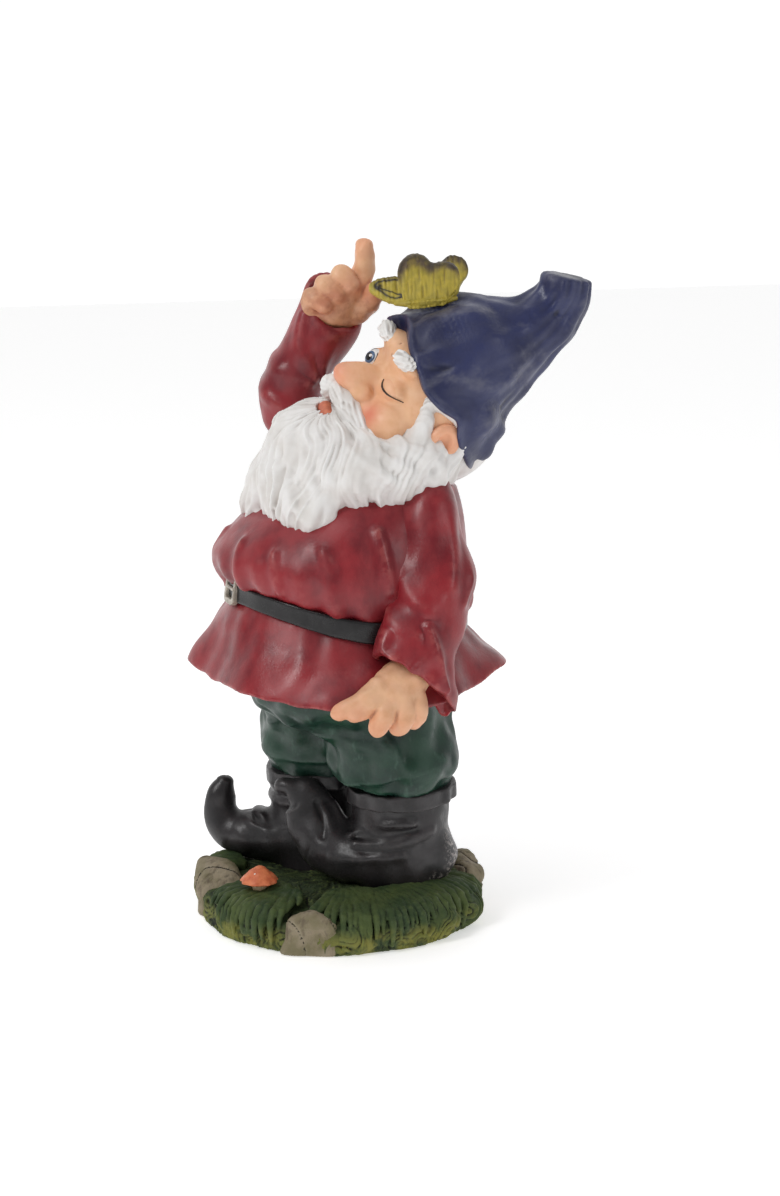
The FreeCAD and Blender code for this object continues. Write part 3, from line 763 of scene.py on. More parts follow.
def make_ground():
    edge = BASE_RADIUS + 4
    sculpt("ground", ground, (-edge, -edge, -1), (edge, edge, BASE_TOP + 4), 1.1, ground_paint(), "ground",
           ["base_ground"], marks={"yellow": low_down})


def make_stones():
    paint = stone_paint()
    for number, name in enumerate(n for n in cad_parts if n.startswith("stone_")):
        low, high, middle = node_box(name)
        radii = (high - low) / 2 + 0.8
        radii[2] = high[2] - middle[2] + 4
        rock = stone(middle - (0, 0, 3), radii, 15 * number)
        sculpt(name + "_rock", rock, low - 6, high + 4, 0.8, paint, "stone", [name], 0.9)


def make_grass():
    paint = grass_paint()
    for name, (fans, mounds) in TUFTS.items():
        clump = turf_clump(fans, mounds)
        low = np.min([np.array(c) - np.array(r) for c, r in mounds], 0) - 16
        high = np.max([np.array(c) + np.array(r) for c, r in mounds], 0) + 16
        low[2], high[2] = -1, BASE_TOP + 14
        sculpt(name + "_blades", clump, low, high, 0.75, paint, "grass", [name], 1.0, {"yellow": low_down})


# ---------------------------------------------------------------- mushroom
def make_mushroom():
    low, high, middle = node_box("mushroom_cap")
    radius, height = (high[0] - low[0]) / 2 - 0.8, 0.72 * (high[2] - low[2])
    low = low - (0, 0, 1.5)
    lumps = Waves(6, 41)

    def cap(p):
        q = p - (middle[0], middle[1], low[2])
        r = np.hypot(q[:, 0], q[:, 1])
        share = np.clip(q[:, 2] / height, 0, 1)
        cone = (r - radius * (1 - share) ** 0.7) * 0.72
        domed = smooth_max(cone, q[:, 2] - height, 1.2)
        return smooth_max(domed, -q[:, 2] - 0.5, 1.6) - 0.25 * lumps(p) - 0.2

    orange = mushroom_paint("mushroom_orange_paint", linear(222, 128, 84), linear(200, 100, 62))
    sculpt("mushroom_cap_top", cap, low - 3, high + 3, 0.55, orange, "mushroom_orange", ["mushroom_cap"], 0.9)

    stem_low, stem_high, stem_middle = node_box("mushroom_stem")
    stem_line = np.array([(*stem_middle[:2], stem_low[2] - 2), (*stem_middle[:2], low[2] + 1.5)])
    cream = mushroom_paint("mushroom_stem_paint", linear(214, 196, 160), linear(190, 168, 130))
    sculpt("mushroom_stalk", lambda p: tube_distance(p, stem_line, np.array([4.4, 3.6])), stem_low - 6,
           stem_high + 5, 0.6, cream, "mushroom_stem", ["mushroom_stem"], 0.9)

    spot = blob((middle[0] + 3.6, middle[1] - 3.4, low[2] + 0.56 * height), (0.9, 0.9, 0.9))
    white = plain_paint("spot_white_paint", linear(240, 236, 228), linear(228, 222, 210), 0.5)
    sculpt("mushroom_spot", spot, (middle[0] + 2, middle[1] - 5, low[2] + 3),
           (middle[0] + 6, middle[1] - 1, high[2]), 0.3, white, "eye_white", [], 0.5)


# ---------------------------------------------------------------- boots
LEG_LEFT, LEG_RIGHT = (23.0, 28.5), (-30.5, -2.0)
BOOT_TOP = node_box("boot_cuff_left")[1][2] - 3.5

BOOTS = {
    "left": {
        "leg": LEG_LEFT,
        "foot": [(25, 44, 38, 22, 18), (23, 24, 39, 25.5, 19), (18, 5, 39, 22.5, 17.5), (11, -8, 40, 17, 15),
                 (6, -15, 43, 12, 12)],
        "toe": [(10, -7, 40, 15, 15), (6, -13, 50, 12, 16), (2, -17, 60, 9.5, 15), (0, -20, 68, 7.5, 12),
                (-3, -27, 73.5, 5, 6), (-6, -33, 74, 3.4, 3.6)],
    },
    "right": {
        "leg": LEG_RIGHT,
        "foot": [(-30, 10, 36, 21, 17), (-34, -12, 37, 22, 17.5), (-39, -28, 36, 19, 15),
                 (-44, -40, 36, 15, 13.5), (-48, -49, 38, 10, 10)],
        "toe": [(-43, -40, 33, 13, 10), (-49, -50, 38, 11, 11.5), (-52, -54.5, 48, 9, 10),
                (-52, -54, 58, 7, 8.5), (-51.5, -52, 66, 4.6, 5)],
    },
}
# soft leather folds: those that stand out, then those that sink in
BOOT_FOLDS = {
    "left": ([[(52, 26, 62), (44, 4, 60), (30, -4, 56)], [(50, 38, 56), (48, 16, 50), (36, -2, 50)],
              [(4, -14, 72), (8, -6, 67), (13, -3, 60), (20, -3, 53), (28, -6, 46)],
              [(50, 20, 44), (42, 0, 42), (28, -12, 40)]],
             [[(50, 28, 58), (46, 8, 55), (33, -1, 52)], [(14, 0, 68), (18, 4, 61), (25, 4, 54)],
              [(9, -16, 66), (14, -14, 58), (20, -16, 50)]]),
    "right": ([[(-4, -12, 62), (-14, -26, 60), (-34, -30, 60), (-52, -22, 60)],
               [(-6, -14, 52), (-18, -32, 51), (-40, -36, 51), (-56, -24, 50)],
               [(-12, -26, 45), (-28, -42, 46), (-48, -40, 46)],
               [(-8, -20, 68), (-24, -29, 67), (-42, -27, 68)]],
              [[(-5, -14, 57), (-16, -29, 55), (-36, -33, 55), (-54, -24, 55)],
               [(-8, -18, 48), (-22, -37, 48), (-44, -38, 48)]]),
}
BOOT_LUMPS = Waves(16, 50)


def boot(side):
    """A boot without its cuff: a shaft, a foot and a turned-up toe, melted together and softly folded."""
    spec = BOOTS[side]
    x, y = spec["leg"]
    shaft = Stack([(x, y, 18, 22, 25, 0), (x, y, 32, 24.5, 27, 0), (x, y, 52, 26.5, 27, 0),
                   (x, y, 66, 27, 27, 0), (x, y, BOOT_TOP - 2, 27.5, 27.5, 0)])
    foot, toe = Sweep(spec["foot"]), Sweep(spec["toe"])
    outward, inward = BOOT_FOLDS[side]

    def distance(p):
        d = smooth_min(shaft(p), foot(p), 5)
        d = smooth_min(d, toe(p), 3)
        d = d - 0.5 * BOOT_LUMPS(p) - creases(p, outward, 3.2, 1.9) + creases(p, inward, 2.0, 1.5)
        return smooth_max(d, BASE_TOP - 5.0 - p[:, 2], 3)
    return distance


def make_boot(side, leather):
    x, y = BOOTS[side]["leg"]
    ripple = Waves(13, 51)

    def scuffed(p):
        """Worn at the back of the heel, and low down on the outside."""
        outward, behind, down = p[:, 0] - x, p[:, 1] - y, -p[:, 2]
        heel = ramp(behind, 16, 26) * ramp(outward, -6, 10) * ramp(down, -62, -46)
        return heel + 0.7 * ramp(behind, 4, 12) * ramp(outward, 8, 20) * ramp(down, -34, -27)

    def cuff(p):
        q = p - (x, y, BOOT_TOP - 0.2)
        r = np.hypot(q[:, 0], q[:, 1])
        out = 28.6 + 1.4 * ramp(q[:, 1], 14, 28) + 0.6 * ripple(p)
        level = q[:, 2] - 0.04 * q[:, 1]
        return rounded_box([np.abs(r - out + 1.4) - 1.6, np.abs(level) - 3.6 - 0.4 * ripple(p + 40)], 0.9)

    low, high, _ = node_box("boot_" + side)
    sculpt("boot_" + side + "_leather", boot(side), low - 6, high + 6, 0.8, leather, "boot_black",
           ["boot_" + side], 1.3, {"scuff": scuffed})
    sculpt("boot_" + side + "_cuff", cuff, (x - 34, y - 34, BOOT_TOP - 16), (x + 34, y + 36, BOOT_TOP + 12),
           0.7, leather, "boot_black", ["boot_cuff_" + side], 1.0, {"scuff": scuffed})


def make_boots():
    leather = boot_paint()
    for side in BOOTS:
        make_boot(side, leather)


# ---------------------------------------------------------------- trousers
TROUSER_LEGS = [
    [(23, 28, 77, 25, 25), (23, 28, 81, 29, 29), (22.5, 27, 89, 32.5, 33), (22, 24, 101, 33.5, 35),
     (18, 20, 126, 33, 36)],
    [(-30.5, -2, 76, 25, 25), (-30, -2, 81, 28.5, 28.5), (-30, -2, 89, 31, 31.5), (-28, -2, 101, 31, 32),
     (-21, 0, 126, 33, 34)],
]
TROUSER_SEAT = [(-3, 10, 112, 44, 44, 0), (0, 8, 124, 54, 54, 0), (1, 6, 138, 57, 57, 0),
                (2, 5, 158, 57, 57, 0)]
TROUSER_FOLDS = [
    [(50, 4, 118), (54, 14, 104), (52, 22, 90)], [(30, -10, 108), (40, -4, 98), (48, 0, 84)],
    [(54, 40, 120), (56, 44, 104), (48, 48, 88)], [(20, -8, 92), (28, -4, 84), (40, -2, 79)],
    [(-40, -34, 112), (-46, -32, 98), (-44, -30, 86)], [(-10, -30, 116), (-18, -34, 104), (-26, -34, 92)],
    [(46, 50, 92), (50, 34, 82), (52, 22, 80)],
]
TROUSER_LUMPS, TROUSER_PLEATS = Waves(24, 60), Waves(15, 61, (1, 1, 3.2))


def make_trousers():
    legs = [Sweep(stations) for stations in TROUSER_LEGS]
    seat = Stack(TROUSER_SEAT)

    def distance(p):
        d = smooth_min(legs[0](p), legs[1](p), 3)
        d = smooth_min(d, seat(p), 9)
        d = d - 1.1 * TROUSER_LUMPS(p) - 1.0 * TROUSER_PLEATS(p) - creases(p, TROUSER_FOLDS, 4.5, 1.8)
        return d - 0.8 * ramp(-p[:, 2], -118, -82)

    low, high, _ = node_box("trousers")
    sculpt("trousers_cloth", distance, low - 5, (high[0] + 5, high[1] + 5, 154), 1.0, trouser_paint(),
           "trouser_green", ["trousers"], 2.0)


# ---------------------------------------------------------------- coat, belt and buckle
BELT_Z, BELT_TILT, BELT_HEIGHT = 180.0, 9.5, 12.3
BUCKLE_CORNER = 3.5
SKIRT = [(1.5, 4, 142, 84.5, 84.5, 0), (2, 4, 150, 80, 80, 1), (2, 5, 163, 71, 71, 4),
         (2, 5, 173, 64.5, 64.5, 8), (2, 5, BELT_Z, 62.5, 62.5, BELT_TILT),
         (2, 5, BELT_Z + 2, 62.5, 62.5, BELT_TILT)]
BODY = [(2, 5, BELT_Z - 2, 62.5, 62.5, BELT_TILT), (2, 5, BELT_Z + 3, 63, 63, BELT_TILT),
        (1.5, 4.5, 189, 67.5, 67.5, 8.5), (0.5, 4, 197, 70, 69.5, 7), (0, 4, 208, 69.5, 67.5, 5),
        (0, 10, 222, 64, 60, 5), (1, 22, 237, 54, 46, 8), (3, 32, 250, 40, 33, 12)]
COAT_FOLDS = [
    [(56, -34, 232), (60, -26, 214), (62, -22, 198)], [(40, -50, 226), (42, -50, 210), (46, -48, 196)],
    [(62, 2, 228), (68, 4, 212), (68, 6, 198)], [(14, -60, 222), (18, -62, 206), (20, -61, 194)],
    [(-22, -58, 220), (-20, -60, 206), (-16, -60, 194)],
]
COAT_LUMPS, SKIRT_WAVES, FINE_PLEATS = Waves(30, 70), Waves(36, 71), Waves(15, 72)


def round_axis(angle, radius, z):
    """A point on a cylinder, so that noise can run round it without a seam."""
    return np.stack([radius * np.cos(angle), radius * np.sin(angle), z + 0 * angle], 1)


def toward(angle, facing, width):
    """1 in the direction `facing` about Z, falling to 0 some `width` away. Both are in degrees."""
    off = np.angle(np.exp(1j * (angle - math.radians(facing))))
    return np.exp(-(np.degrees(off) / width) ** 2)


def sagged(p):
    """Where each point would be if the waist, which sags on his left side, were flat."""
    low = 6.5 * toward(np.arctan2(p[:, 1] - 5, p[:, 0] - 2), -8, 42)
    flat = p.copy()
    flat[:, 2] += low * ramp(p[:, 2], 140, 166) * ramp(-p[:, 2], -224, -190)
    return flat


def make_skirt(cloth):
    """The coat below the belt: it flares in waves to a hem that dips and lifts."""
    skirt = Stack(SKIRT)
    inside = Stack([(x, y, z - 1, w - 4.5, d - 4.5, tilt) for x, y, z, w, d, tilt in SKIRT[:3]])

    def flare(level, angle, p):
        fall = ramp(-level, -172, -144)
        wave = SKIRT_WAVES(round_axis(angle, 62, level * 0.35))
        corners = 5.0 * toward(angle, -112, 13) + 4.0 * toward(angle, 68, 15) - 2.5 * toward(angle, 40, 14)
        pleats = 0.7 * FINE_PLEATS(round_axis(angle, 62, level * 0.25))
        return fall * (3.0 * wave + corners) + pleats * (1 - 0.6 * fall)

    def distance(p):
        p = sagged(p)
        level, angle = skirt.place(p)[:2]
        hem = 1.6 * SKIRT_WAVES(round_axis(angle, 62, 50)) + 0.5 * FINE_PLEATS(round_axis(angle, 62, 10))
        hem = hem - 7.0 * toward(angle, -2, 40) + 3.0 * toward(angle, -98, 28) + 5.0 * toward(angle, 72, 22)
        lifted = p.copy()
        lifted[:, 2] -= hem * ramp(-level, -160, -143)
        return smooth_max(skirt(lifted, flare) - 0.4 * COAT_LUMPS(p), -inside(lifted, flare), 1.5)

    low, high, _ = node_box("coat_skirt")
    sculpt("coat_skirt_cloth", distance, low - 7, (high[0] + 7, high[1] + 7, BELT_Z + 14), 1.05, cloth,
           "coat_red", ["coat_skirt"], 2.0)


def make_body(cloth):
    """The coat above the belt, full over the belly and pleated where the belt gathers it."""
    body = Stack(BODY)

    def belly(level, angle, p):
        low = ramp(-level, -214, -188)
        pleats = 1.9 * low * FINE_PLEATS(round_axis(angle, 62, level * 0.2))
        breast = 3.0 * toward(angle, -108, 16) * ramp(-level, -216, -200)
        return pleats + breast + 1.6 * COAT_LUMPS(round_axis(angle, 62, level * 0.4)) * (0.4 + 0.6 * low)

    low, high, _ = node_box("coat_body")
    sculpt("coat_body_cloth", lambda p: body(sagged(p), belly) - creases(p, COAT_FOLDS, 3.4, 2.2),
           (low[0] - 6, low[1] - 6, 160), high + 8, 1.05, cloth, "coat_red", ["coat_body"], 2.0)


def make_belt():
    body = Stack(BODY)

    def distance(p):
        level, _, radius, _, _ = body.place(sagged(p))
        outward, upward = np.abs(radius - 64.6) - 1.1, np.abs(level - BELT_Z) - BELT_HEIGHT / 2 + 1.0
        return rounded_box([outward, upward], 0.9) - 0.12 * BOOT_LUMPS(p)

    low, high, _ = node_box("belt")
    sculpt("belt_strap", distance, low - (4, 4, 9), high + 4, 0.8, belt_paint(), "belt_black", ["belt"], 1.0)


def make_buckle():
    """A rounded frame and its prong on the front of the belt."""
    low, high, middle = node_box("belt_buckle_frame")
    lean = math.radians(BELT_TILT)
    turn = np.array([[1, 0, 0], [0, math.cos(lean), math.sin(lean)], [0, -math.sin(lean), math.cos(lean)]])
    half = (high[0] - low[0]) / 2
    middle = middle + (0, -0.6, 0)

    def ring(p):
        across, through, up = np.abs((p - middle) @ turn).T
        size = half - 1.2 - BUCKLE_CORNER
        outline = rounded_box([across - size, up - size], BUCKLE_CORNER)
        return rounded_box([np.abs(outline) - 1.0, through - 1.2], 0.5)

    silver = buckle_paint()
    sculpt("belt_buckle_ring", ring, low - 4, high + 4, 0.4, silver, "buckle_silver", ["belt_buckle_frame"],
           0.8)
    ends = np.array([middle + turn @ (-half + 1.5, -0.6, 0), middle + turn @ (half - 1.0, -1.4, 0)])
    sculpt("belt_buckle_tongue", lambda p: tube_distance(p, ends, np.array([1.2, 0.9])), low - 3, high + 3,
           0.4, silver, "buckle_silver", ["belt_buckle_prong"], 0.8)


# ---------------------------------------------------------------- arms and hands
SLEEVES = {
    # side: (stations, the way across, a point on the plane the cuff ends on, the way from it into the sleeve)
    "left": ([(36, 38, 251, 8, 9), (42, 36.5, 246, 15, 14), (48, 34.5, 235, 18.5, 16.5),
              (54.5, 33.5, 220, 18.5, 18.5), (61.5, 34, 204, 17, 22), (68.5, 29, 188, 16, 21),
              (74, 20, 170, 15.5, 21), (78, 15, 152, 17, 23), (79, 15, 126, 18, 24)], (1, 0, 0.3),
             (79.6, 15.2, 149.6), (-0.254, 0.622, 0.741)),
    "right": ([(-30, 40, 232, 8, 9), (-38, 32, 238, 15, 16), (-43, 19, 248, 17, 17.5),
               (-48, 5, 261, 17.5, 17.5), (-51, -7, 277, 17.5, 17.5), (-51, -10, 292, 17, 17.5),
               (-47, -4, 306, 16.5, 17), (-42.5, 5, 321, 16.5, 17.5), (-41.5, 11, 336, 16.5, 17.5),
               (-41.5, 15, 356, 16.5, 17.5)],
              (1, 0, 0.3), (-41.5, 12.6, 340), (-0.66, -0.2, -0.72)),
}
SLEEVE_FOLDS = {
    "left": [[(48, 18, 240), (58, 14, 222), (66, 12, 204)], [(60, 40, 240), (72, 40, 220), (80, 36, 200)],
             [(58, 16, 208), (72, 14, 198), (84, 22, 188)], [(62, 8, 192), (74, 4, 184), (86, 14, 176)],
             [(70, 52, 226), (78, 52, 208), (82, 46, 190)], [(90, 20, 182), (94, 26, 164), (96, 30, 148)],
             [(78, 0, 176), (84, -4, 168), (92, 6, 160)]],
    "right": [[(-26, 8, 290), (-30, 2, 304), (-30, 6, 320)],
              [(-30, -2, 300), (-34, -10, 316), (-36, -8, 334)],
              [(-36, -6, 262), (-48, -22, 272), (-62, -16, 280)],
              [(-34, -14, 280), (-44, -26, 288), (-60, -22, 296)],
              [(-32, -6, 296), (-42, -20, 304), (-58, -16, 310)],
              [(-32, 14, 246), (-34, 0, 262), (-36, -4, 280)]],
}
ARM_LUMPS, CUFF_WAVES = Waves(26, 80), Waves(16, 81)

HANDS = {
    "left": {
        "palm": [((80, 8, 152), (11, 15, 9)), ((83, 3, 146), (10.5, 16, 9)), ((85, 1, 141), (9, 13, 7)),
                 ((79, 14, 155), (10, 14, 9))],
        "fingers": [[(85, -7, 149), (87, -16, 144), (86, -28, 139)],
                    [(86, -7, 145), (88, -14, 141), (88, -21, 138)],
                    [(88, -2, 142), (92, -6, 136), (92, -9, 130.5)],
                    [(89, 6, 141), (92, 5, 134), (90, 3, 129.5)],
                    [(86, 14, 143), (90, 14, 136), (89, 12, 131.5)]],
        "thick": [(6.6, 5.6, 4.8), (6.0, 5.4, 4.8), (6.2, 5.8, 5.2), (6.0, 5.8, 5.2), (5.6, 5.4, 4.8)],
        "shade_and_dirt": 0.15,
    },
    "right": {
        "palm": [((-37, 12, 338), (12.5, 15, 13)), ((-32, 15, 346), (9.5, 13, 9)),
                 ((-41, 11, 333), (14, 15.5, 9))],
        "fingers": [[(-31, 22, 347), (-29.5, 26, 359), (-29, 26.5, 371)],
                    [(-31, 14, 347), (-28.5, 13, 355), (-25, 17, 351)],
                    [(-33, 6, 343), (-29.5, 4, 350), (-26, 9, 346)],
                    [(-36, -1, 337), (-32, -3, 343), (-27, 2, 340)],
                    [(-31, 22, 335), (-25, 28, 341), (-21, 29, 347)]],
        "thick": [(7.2, 6.2, 5.2), (7.0, 6.8, 5.4), (6.6, 6.6, 5.2), (6.2, 6.2, 5.0), (6.8, 6.2, 5.4)],
        "shade_and_dirt": 0.75,
    },
}
KNUCKLES = Waves(9, 82)


def make_sleeve(side, cloth):
    """A sleeve cut off and hollowed at its cuff, wavier at the hanging arm's than at the raised one's."""
    stations, across, end, facing = SLEEVES[side]
    arm = Sweep(stations, across, round_ends=(True, False))
    flare = 1.0 if side == "left" else 0.25

    def folds(s, angle, p):
        return 0.7 * ARM_LUMPS(p) + ramp(s, 0.72, 0.9) * flare * (0.8 + 1.2 * CUFF_WAVES(p))

    def distance(p):
        d = arm(p, folds) - creases(p, SLEEVE_FOLDS[side], 3.8, 2.6)
        before_end = (p - np.array(end)) @ np.array(facing) + 1.0 * CUFF_WAVES(p)
        opening = smooth_max(d + 2.6, before_end - 4.0, 1.0)
        return smooth_max(smooth_max(d, -before_end, 1.6), -opening, 1.2)

    low, high, _ = node_box("sleeve_" + side)
    sculpt("sleeve_" + side + "_cloth", distance, low - 7, high + 7, 0.9, cloth, "coat_red",
           ["sleeve_" + side], 1.8)


def make_hand(side, skin):
    """A palm of a few blobs with five bent fingers."""
    spec = HANDS[side]
    palm = joined(4, *(blob(*b) for b in spec["palm"]))
    fingers = [(spline(line, 9), np.interp(np.linspace(0, 2, 9), [0, 1, 2], thick))
               for line, thick in zip(spec["fingers"], spec["thick"])]
    melted = with_tubes(palm, fingers, 1.5)

    def pink_tips(p):
        return 0.35 * np.max([np.exp(-(length(p - line[-1]) / 7) ** 2) for line, _ in fingers], 0)

    # painted shade with some dirt: browner towards the wrist, as strongly as each hand's table entry says
    def wrist_shade_and_dirt(p):
        return spec["shade_and_dirt"] * ramp(-p[:, 2], -364, -338)

    low, high, _ = node_box("hand_" + side)
    sculpt("hand_" + side + "_skin", lambda p: melted(p) - 0.35 * KNUCKLES(p), low - 4, high + 4, 0.6, skin,
           "skin", ["hand_" + side], 1.2, {"blush": pink_tips, "shade_and_dirt": wrist_shade_and_dirt})


# ---------------------------------------------------------------- head and face
HEAD = np.array((15.5, 50.0, 288.5))
HEAD_TURN = turned(8, 22, 26)


def on_head(left, out, up):
    """A point given from the head's centre: towards his left, out through the face, and up."""
    return HEAD + HEAD_TURN @ np.array((left, -out, up), float)


def to_head(p):
    """Points in the head's own left, out and up."""
    q = (p - HEAD) @ HEAD_TURN
    return q * (1, -1, 1)


def head_blob(centre, radii):
    return blob(on_head(*centre), radii, HEAD_TURN)


def head_rod(line, side=1):
    """Points and radii of a tapering rod given as (left, out, up, radius) from the head's centre."""
    points = np.array([on_head(side * left, out, up) for left, out, up, _ in line])
    return points, np.array([radius for *_, radius in line])


def near_head_line(q, line, width):
    """1 on a line drawn on the face, falling to 0 a width away. q is in the head's own frame."""
    points = spline(line, 24)
    return np.exp(-(tube_distance(q, points, np.zeros(len(points))) / width) ** 2)


SKULL = ((0, 0, 0), (39.5, 40, 42))
LID_MIDDLE, LID_SIZE = (15.5, 34.2, 5.5), (8.5, 6.2, 6.2)
EYE_MIDDLE, EYE_RADIUS = (-15.2, 35.6, 5.4), 6.2


def both_sides(middle, radii):
    """A blob on his right and its mirror image on his left."""
    return [head_blob((side * middle[0], *middle[1:]), radii) for side in (-1, 1)]


def face_lines(q):
    """Depth of the wrinkles: between nose and eye, from nose to mouth, and two frown lines on the brow."""
    depth = 0
    for side in (-1, 1):
        crow = [(side * 9, 42, -1), (side * 14, 41, -3), (side * 20, 38, -1)]
        smile = [(side * 8.5, 44, -9), (side * 9, 41, -15), (side * 12, 38, -22), (side * 18, 34, -27)]
        depth = depth + 0.7 * near_head_line(q, crow, 1.0) + 0.9 * near_head_line(q, smile, 1.2)
    for across in (0, 6):
        frown = [(3 + across, 41, 14 + across / 3), (4 + across, 40, 20 + across / 3),
                 (2 + across, 38, 26 + across / 3)]
        depth = depth + 0.6 * near_head_line(q, frown, 1.0)
    return depth


def make_head(skin):
    skull = head_blob(*SKULL)
    jaw, brow = head_blob((0, 26, -28), (22, 18, 14)), head_blob((0, 33, 21), (25, 8, 7))
    bridge, nose = head_blob((0, 42, 2.0), (6.5, 12, 6)), head_blob((0, 51.5, -3.0), (9.2, 11, 7.0))
    cheeks = both_sides((20, 29.5, -12.5), (14.5, 13, 13))
    lids = both_sides(LID_MIDDLE, LID_SIZE)
    nostrils = both_sides((7.5, 46, -6.5), (5.0, 6.5, 5.0))
    upper_lip = both_sides((10, 37, -14), (9, 9, 9))
    socket = head_blob((-15.5, 42.0, 5.4), (6.4, 5.4, 5.4))
    lumps = Waves(20, 90)

    def distance(p):
        d = skull(p)
        for parts, blend in (([jaw], 8), ([brow], 6), (upper_lip, 4), (cheeks, 3.0), (lids, 3), ([bridge], 5),
                             ([nose], 3.5), (nostrils, 1.8)):
            for part in parts:
                d = smooth_min(d, part(p), blend)
        d = d + face_lines(to_head(p))
        return smooth_max(d, -socket(p), 0.8) - 0.25 * lumps(p)

    def blush(p):
        q = to_head(p)
        total = 0.55 * np.exp(-(length(q - (0, 62, -4)) / 9) ** 2)
        for side in (-1, 1):
            total = total + 0.75 * np.exp(-(length(q - (side * 20.5, 41, -11.5)) / 7) ** 2)
        return np.clip(total, 0, 1)

    low, high, _ = node_box("head")
    sculpt("head_skin", distance, low - 6, high + 6, 0.62, skin, "skin", ["head"], 1.2, {"blush": blush})


def make_ears(skin):
    """Each ear is a scooped lobe that ends just behind the hat's brim."""
    for name, side in (("ear_left", 1), ("ear_right", -1)):
        lobe = joined(3, head_blob((side * 40, 6, -4), (6, 10, 12.5)),
                      head_blob((side * 41.5, 11, -14), (5.5, 8, 8)))
        bowl = head_blob((side * 46, 8, -2), (4, 4.5, 8))

        def ear(p, lobe=lobe, bowl=bowl):
            past_brim = behind_brim(p) - 3.5
            return smooth_max(smooth_max(lobe(p), -bowl(p), 1.5), past_brim, 1.0)

        low, high, _ = node_box(name)
        sculpt(name + "_skin", ear, low - 9, high + 9, 0.6, skin, "skin", [name], 1.0,
               {"blush": lambda p: 0.25 + 0 * p[:, 0]})


def make_eyes():
    """His right eye is open, with an iris, a pupil and a glint of light as thin caps on the ball."""
    gloss = 0.18
    eye = on_head(*EYE_MIDDLE)
    look = on_head(-10.5, 60, 9.5) - eye
    look /= np.linalg.norm(look)
    white = plain_paint("eye_white_paint", linear(236, 238, 240), linear(222, 226, 230), gloss)
    sculpt("eye_right_ball", blob(eye, (EYE_RADIUS,) * 3), eye - EYE_RADIUS - 2, eye + EYE_RADIUS + 2, 0.4,
           white, "eye_white", ["eye_right"], 0.8)
    for name, size, lift, colours in (("iris", 3.5, 0.28, (linear(92, 122, 158), linear(66, 92, 128))),
                                      ("pupil", 2.3, 0.5, (linear(14, 14, 18), linear(22, 22, 26))),
                                      ("glint", 0.9, 0.72, (linear(250, 250, 250), linear(244, 244, 246)))):
        offset = HEAD_TURN @ np.array((0.9, 0, 1.2)) if name == "glint" else np.zeros(3)
        centre = eye + offset

        def cap(p, centre=centre, size=size, lift=lift):
            q = p - centre
            along = q @ look
            off = length(q - along[:, None] * look)
            raised = length(p - eye) - EYE_RADIUS - lift
            return smooth_max(raised, off - size + np.where(along < 0, 20, 0), 0.3)

        tip = centre + look * EYE_RADIUS
        paint = plain_paint(name + "_paint", *colours, gloss)
        sculpt("eye_" + name, cap, tip - size - 2.5, tip + size + 2.5, 0.22, paint, "eye_white", [], 0.4)


def make_eyelids(skin):
    """His left eye is shut in a wink; the open one has a painted lash line."""
    lash = plain_paint("lash_paint", linear(58, 34, 26), linear(44, 26, 20), 0.5)
    skull, mirrored = head_blob(*SKULL), (-LID_MIDDLE[0], *LID_MIDDLE[1:])
    lid = head_blob((15.5, 35.2, 5.0), (8.2, 6.0, 5.6))
    low, high, _ = node_box("eyelid_left")
    sculpt("eyelid_left_skin", lid, low - 4, high + 4, 0.5, skin, "skin", ["eyelid_left"], 0.9,
           {"blush": lambda p: 0.1 + 0 * p[:, 0]})
    winking = joined(3, lid, head_blob(LID_MIDDLE, LID_SIZE), skull, head_blob((18.5, 29, -11), (14, 12, 13)))
    draw_on(winking, "wink_line", [(9.8, 6.6), (12.5, 5.4), (16.0, 4.3), (20.5, 3.8), (25.0, 4.4)],
            (0.25, 0.5, 0.6, 0.5, 0.25), lash, "skin")
    draw_on(joined(3, head_blob(mirrored, LID_SIZE), skull), "lash_line",
            [(-21.0, 7.4), (-18.5, 10.0), (-15.0, 10.6), (-11.5, 9.0), (-9.6, 6.0)],
            (0.3, 0.5, 0.55, 0.5, 0.3), lash, "skin")


def draw_on(face, name, line, widths, material, slot):
    """A thin raised line of paint over the face, given in the head's left and up."""
    flat = spline([(*point, width) for point, width in zip(line, widths)], 20)
    points = []
    for left, up, _ in flat:
        outs = np.linspace(62, 20, 200)
        d = face(np.array([on_head(left, out, up) for out in outs]))
        points.append(on_head(left, outs[np.argmax(d < 0)] - 0.1, up))
    points = np.array(points)
    sculpt(name, lambda p: tube_distance(p, points, flat[:, 2]), points.min(0) - 2, points.max(0) + 2, 0.25,
           material, slot, [], 0.4)


# ---------------------------------------------------------------- hair
BEARD = [((3, -4, 267), (33, 33, 24)), ((-1, -12, 247), (41.5, 34, 23)), ((27, 10, 256), (33, 38, 21)),
         ((-20, 10, 254), (29, 36, 24)), ((38, 33, 261), (22, 19, 17)), ((-12, -33, 231), (15.5, 15.5, 14)),
         ((20, -24, 236), (27, 19, 15))]
BEARD_CENTRE = np.array((4, 12, 256.0))
FACE_AXIS = on_head(0, 46, -22) - BEARD_CENTRE
FACE_AXIS /= np.linalg.norm(FACE_AXIS)
SIDEWAYS = np.cross(FACE_AXIS, (0, 0, 1.0))
SIDEWAYS /= np.linalg.norm(SIDEWAYS)
ONWARD = np.cross(SIDEWAYS, FACE_AXIS)
STRAND_SWAY = Waves(46, 100)
STRAND_NOISE, CLUMP_NOISE = Waves(2.9, 101, (1, 1, 9)), Waves(9, 102, (1, 1, 4))
# rows of locks: the latitude they start at, the latitude they end at, and how many go round
LOCK_ROWS = ((0.35, 1.15, 26), (0.8, 1.6, 36), (1.2, 2.05, 44))


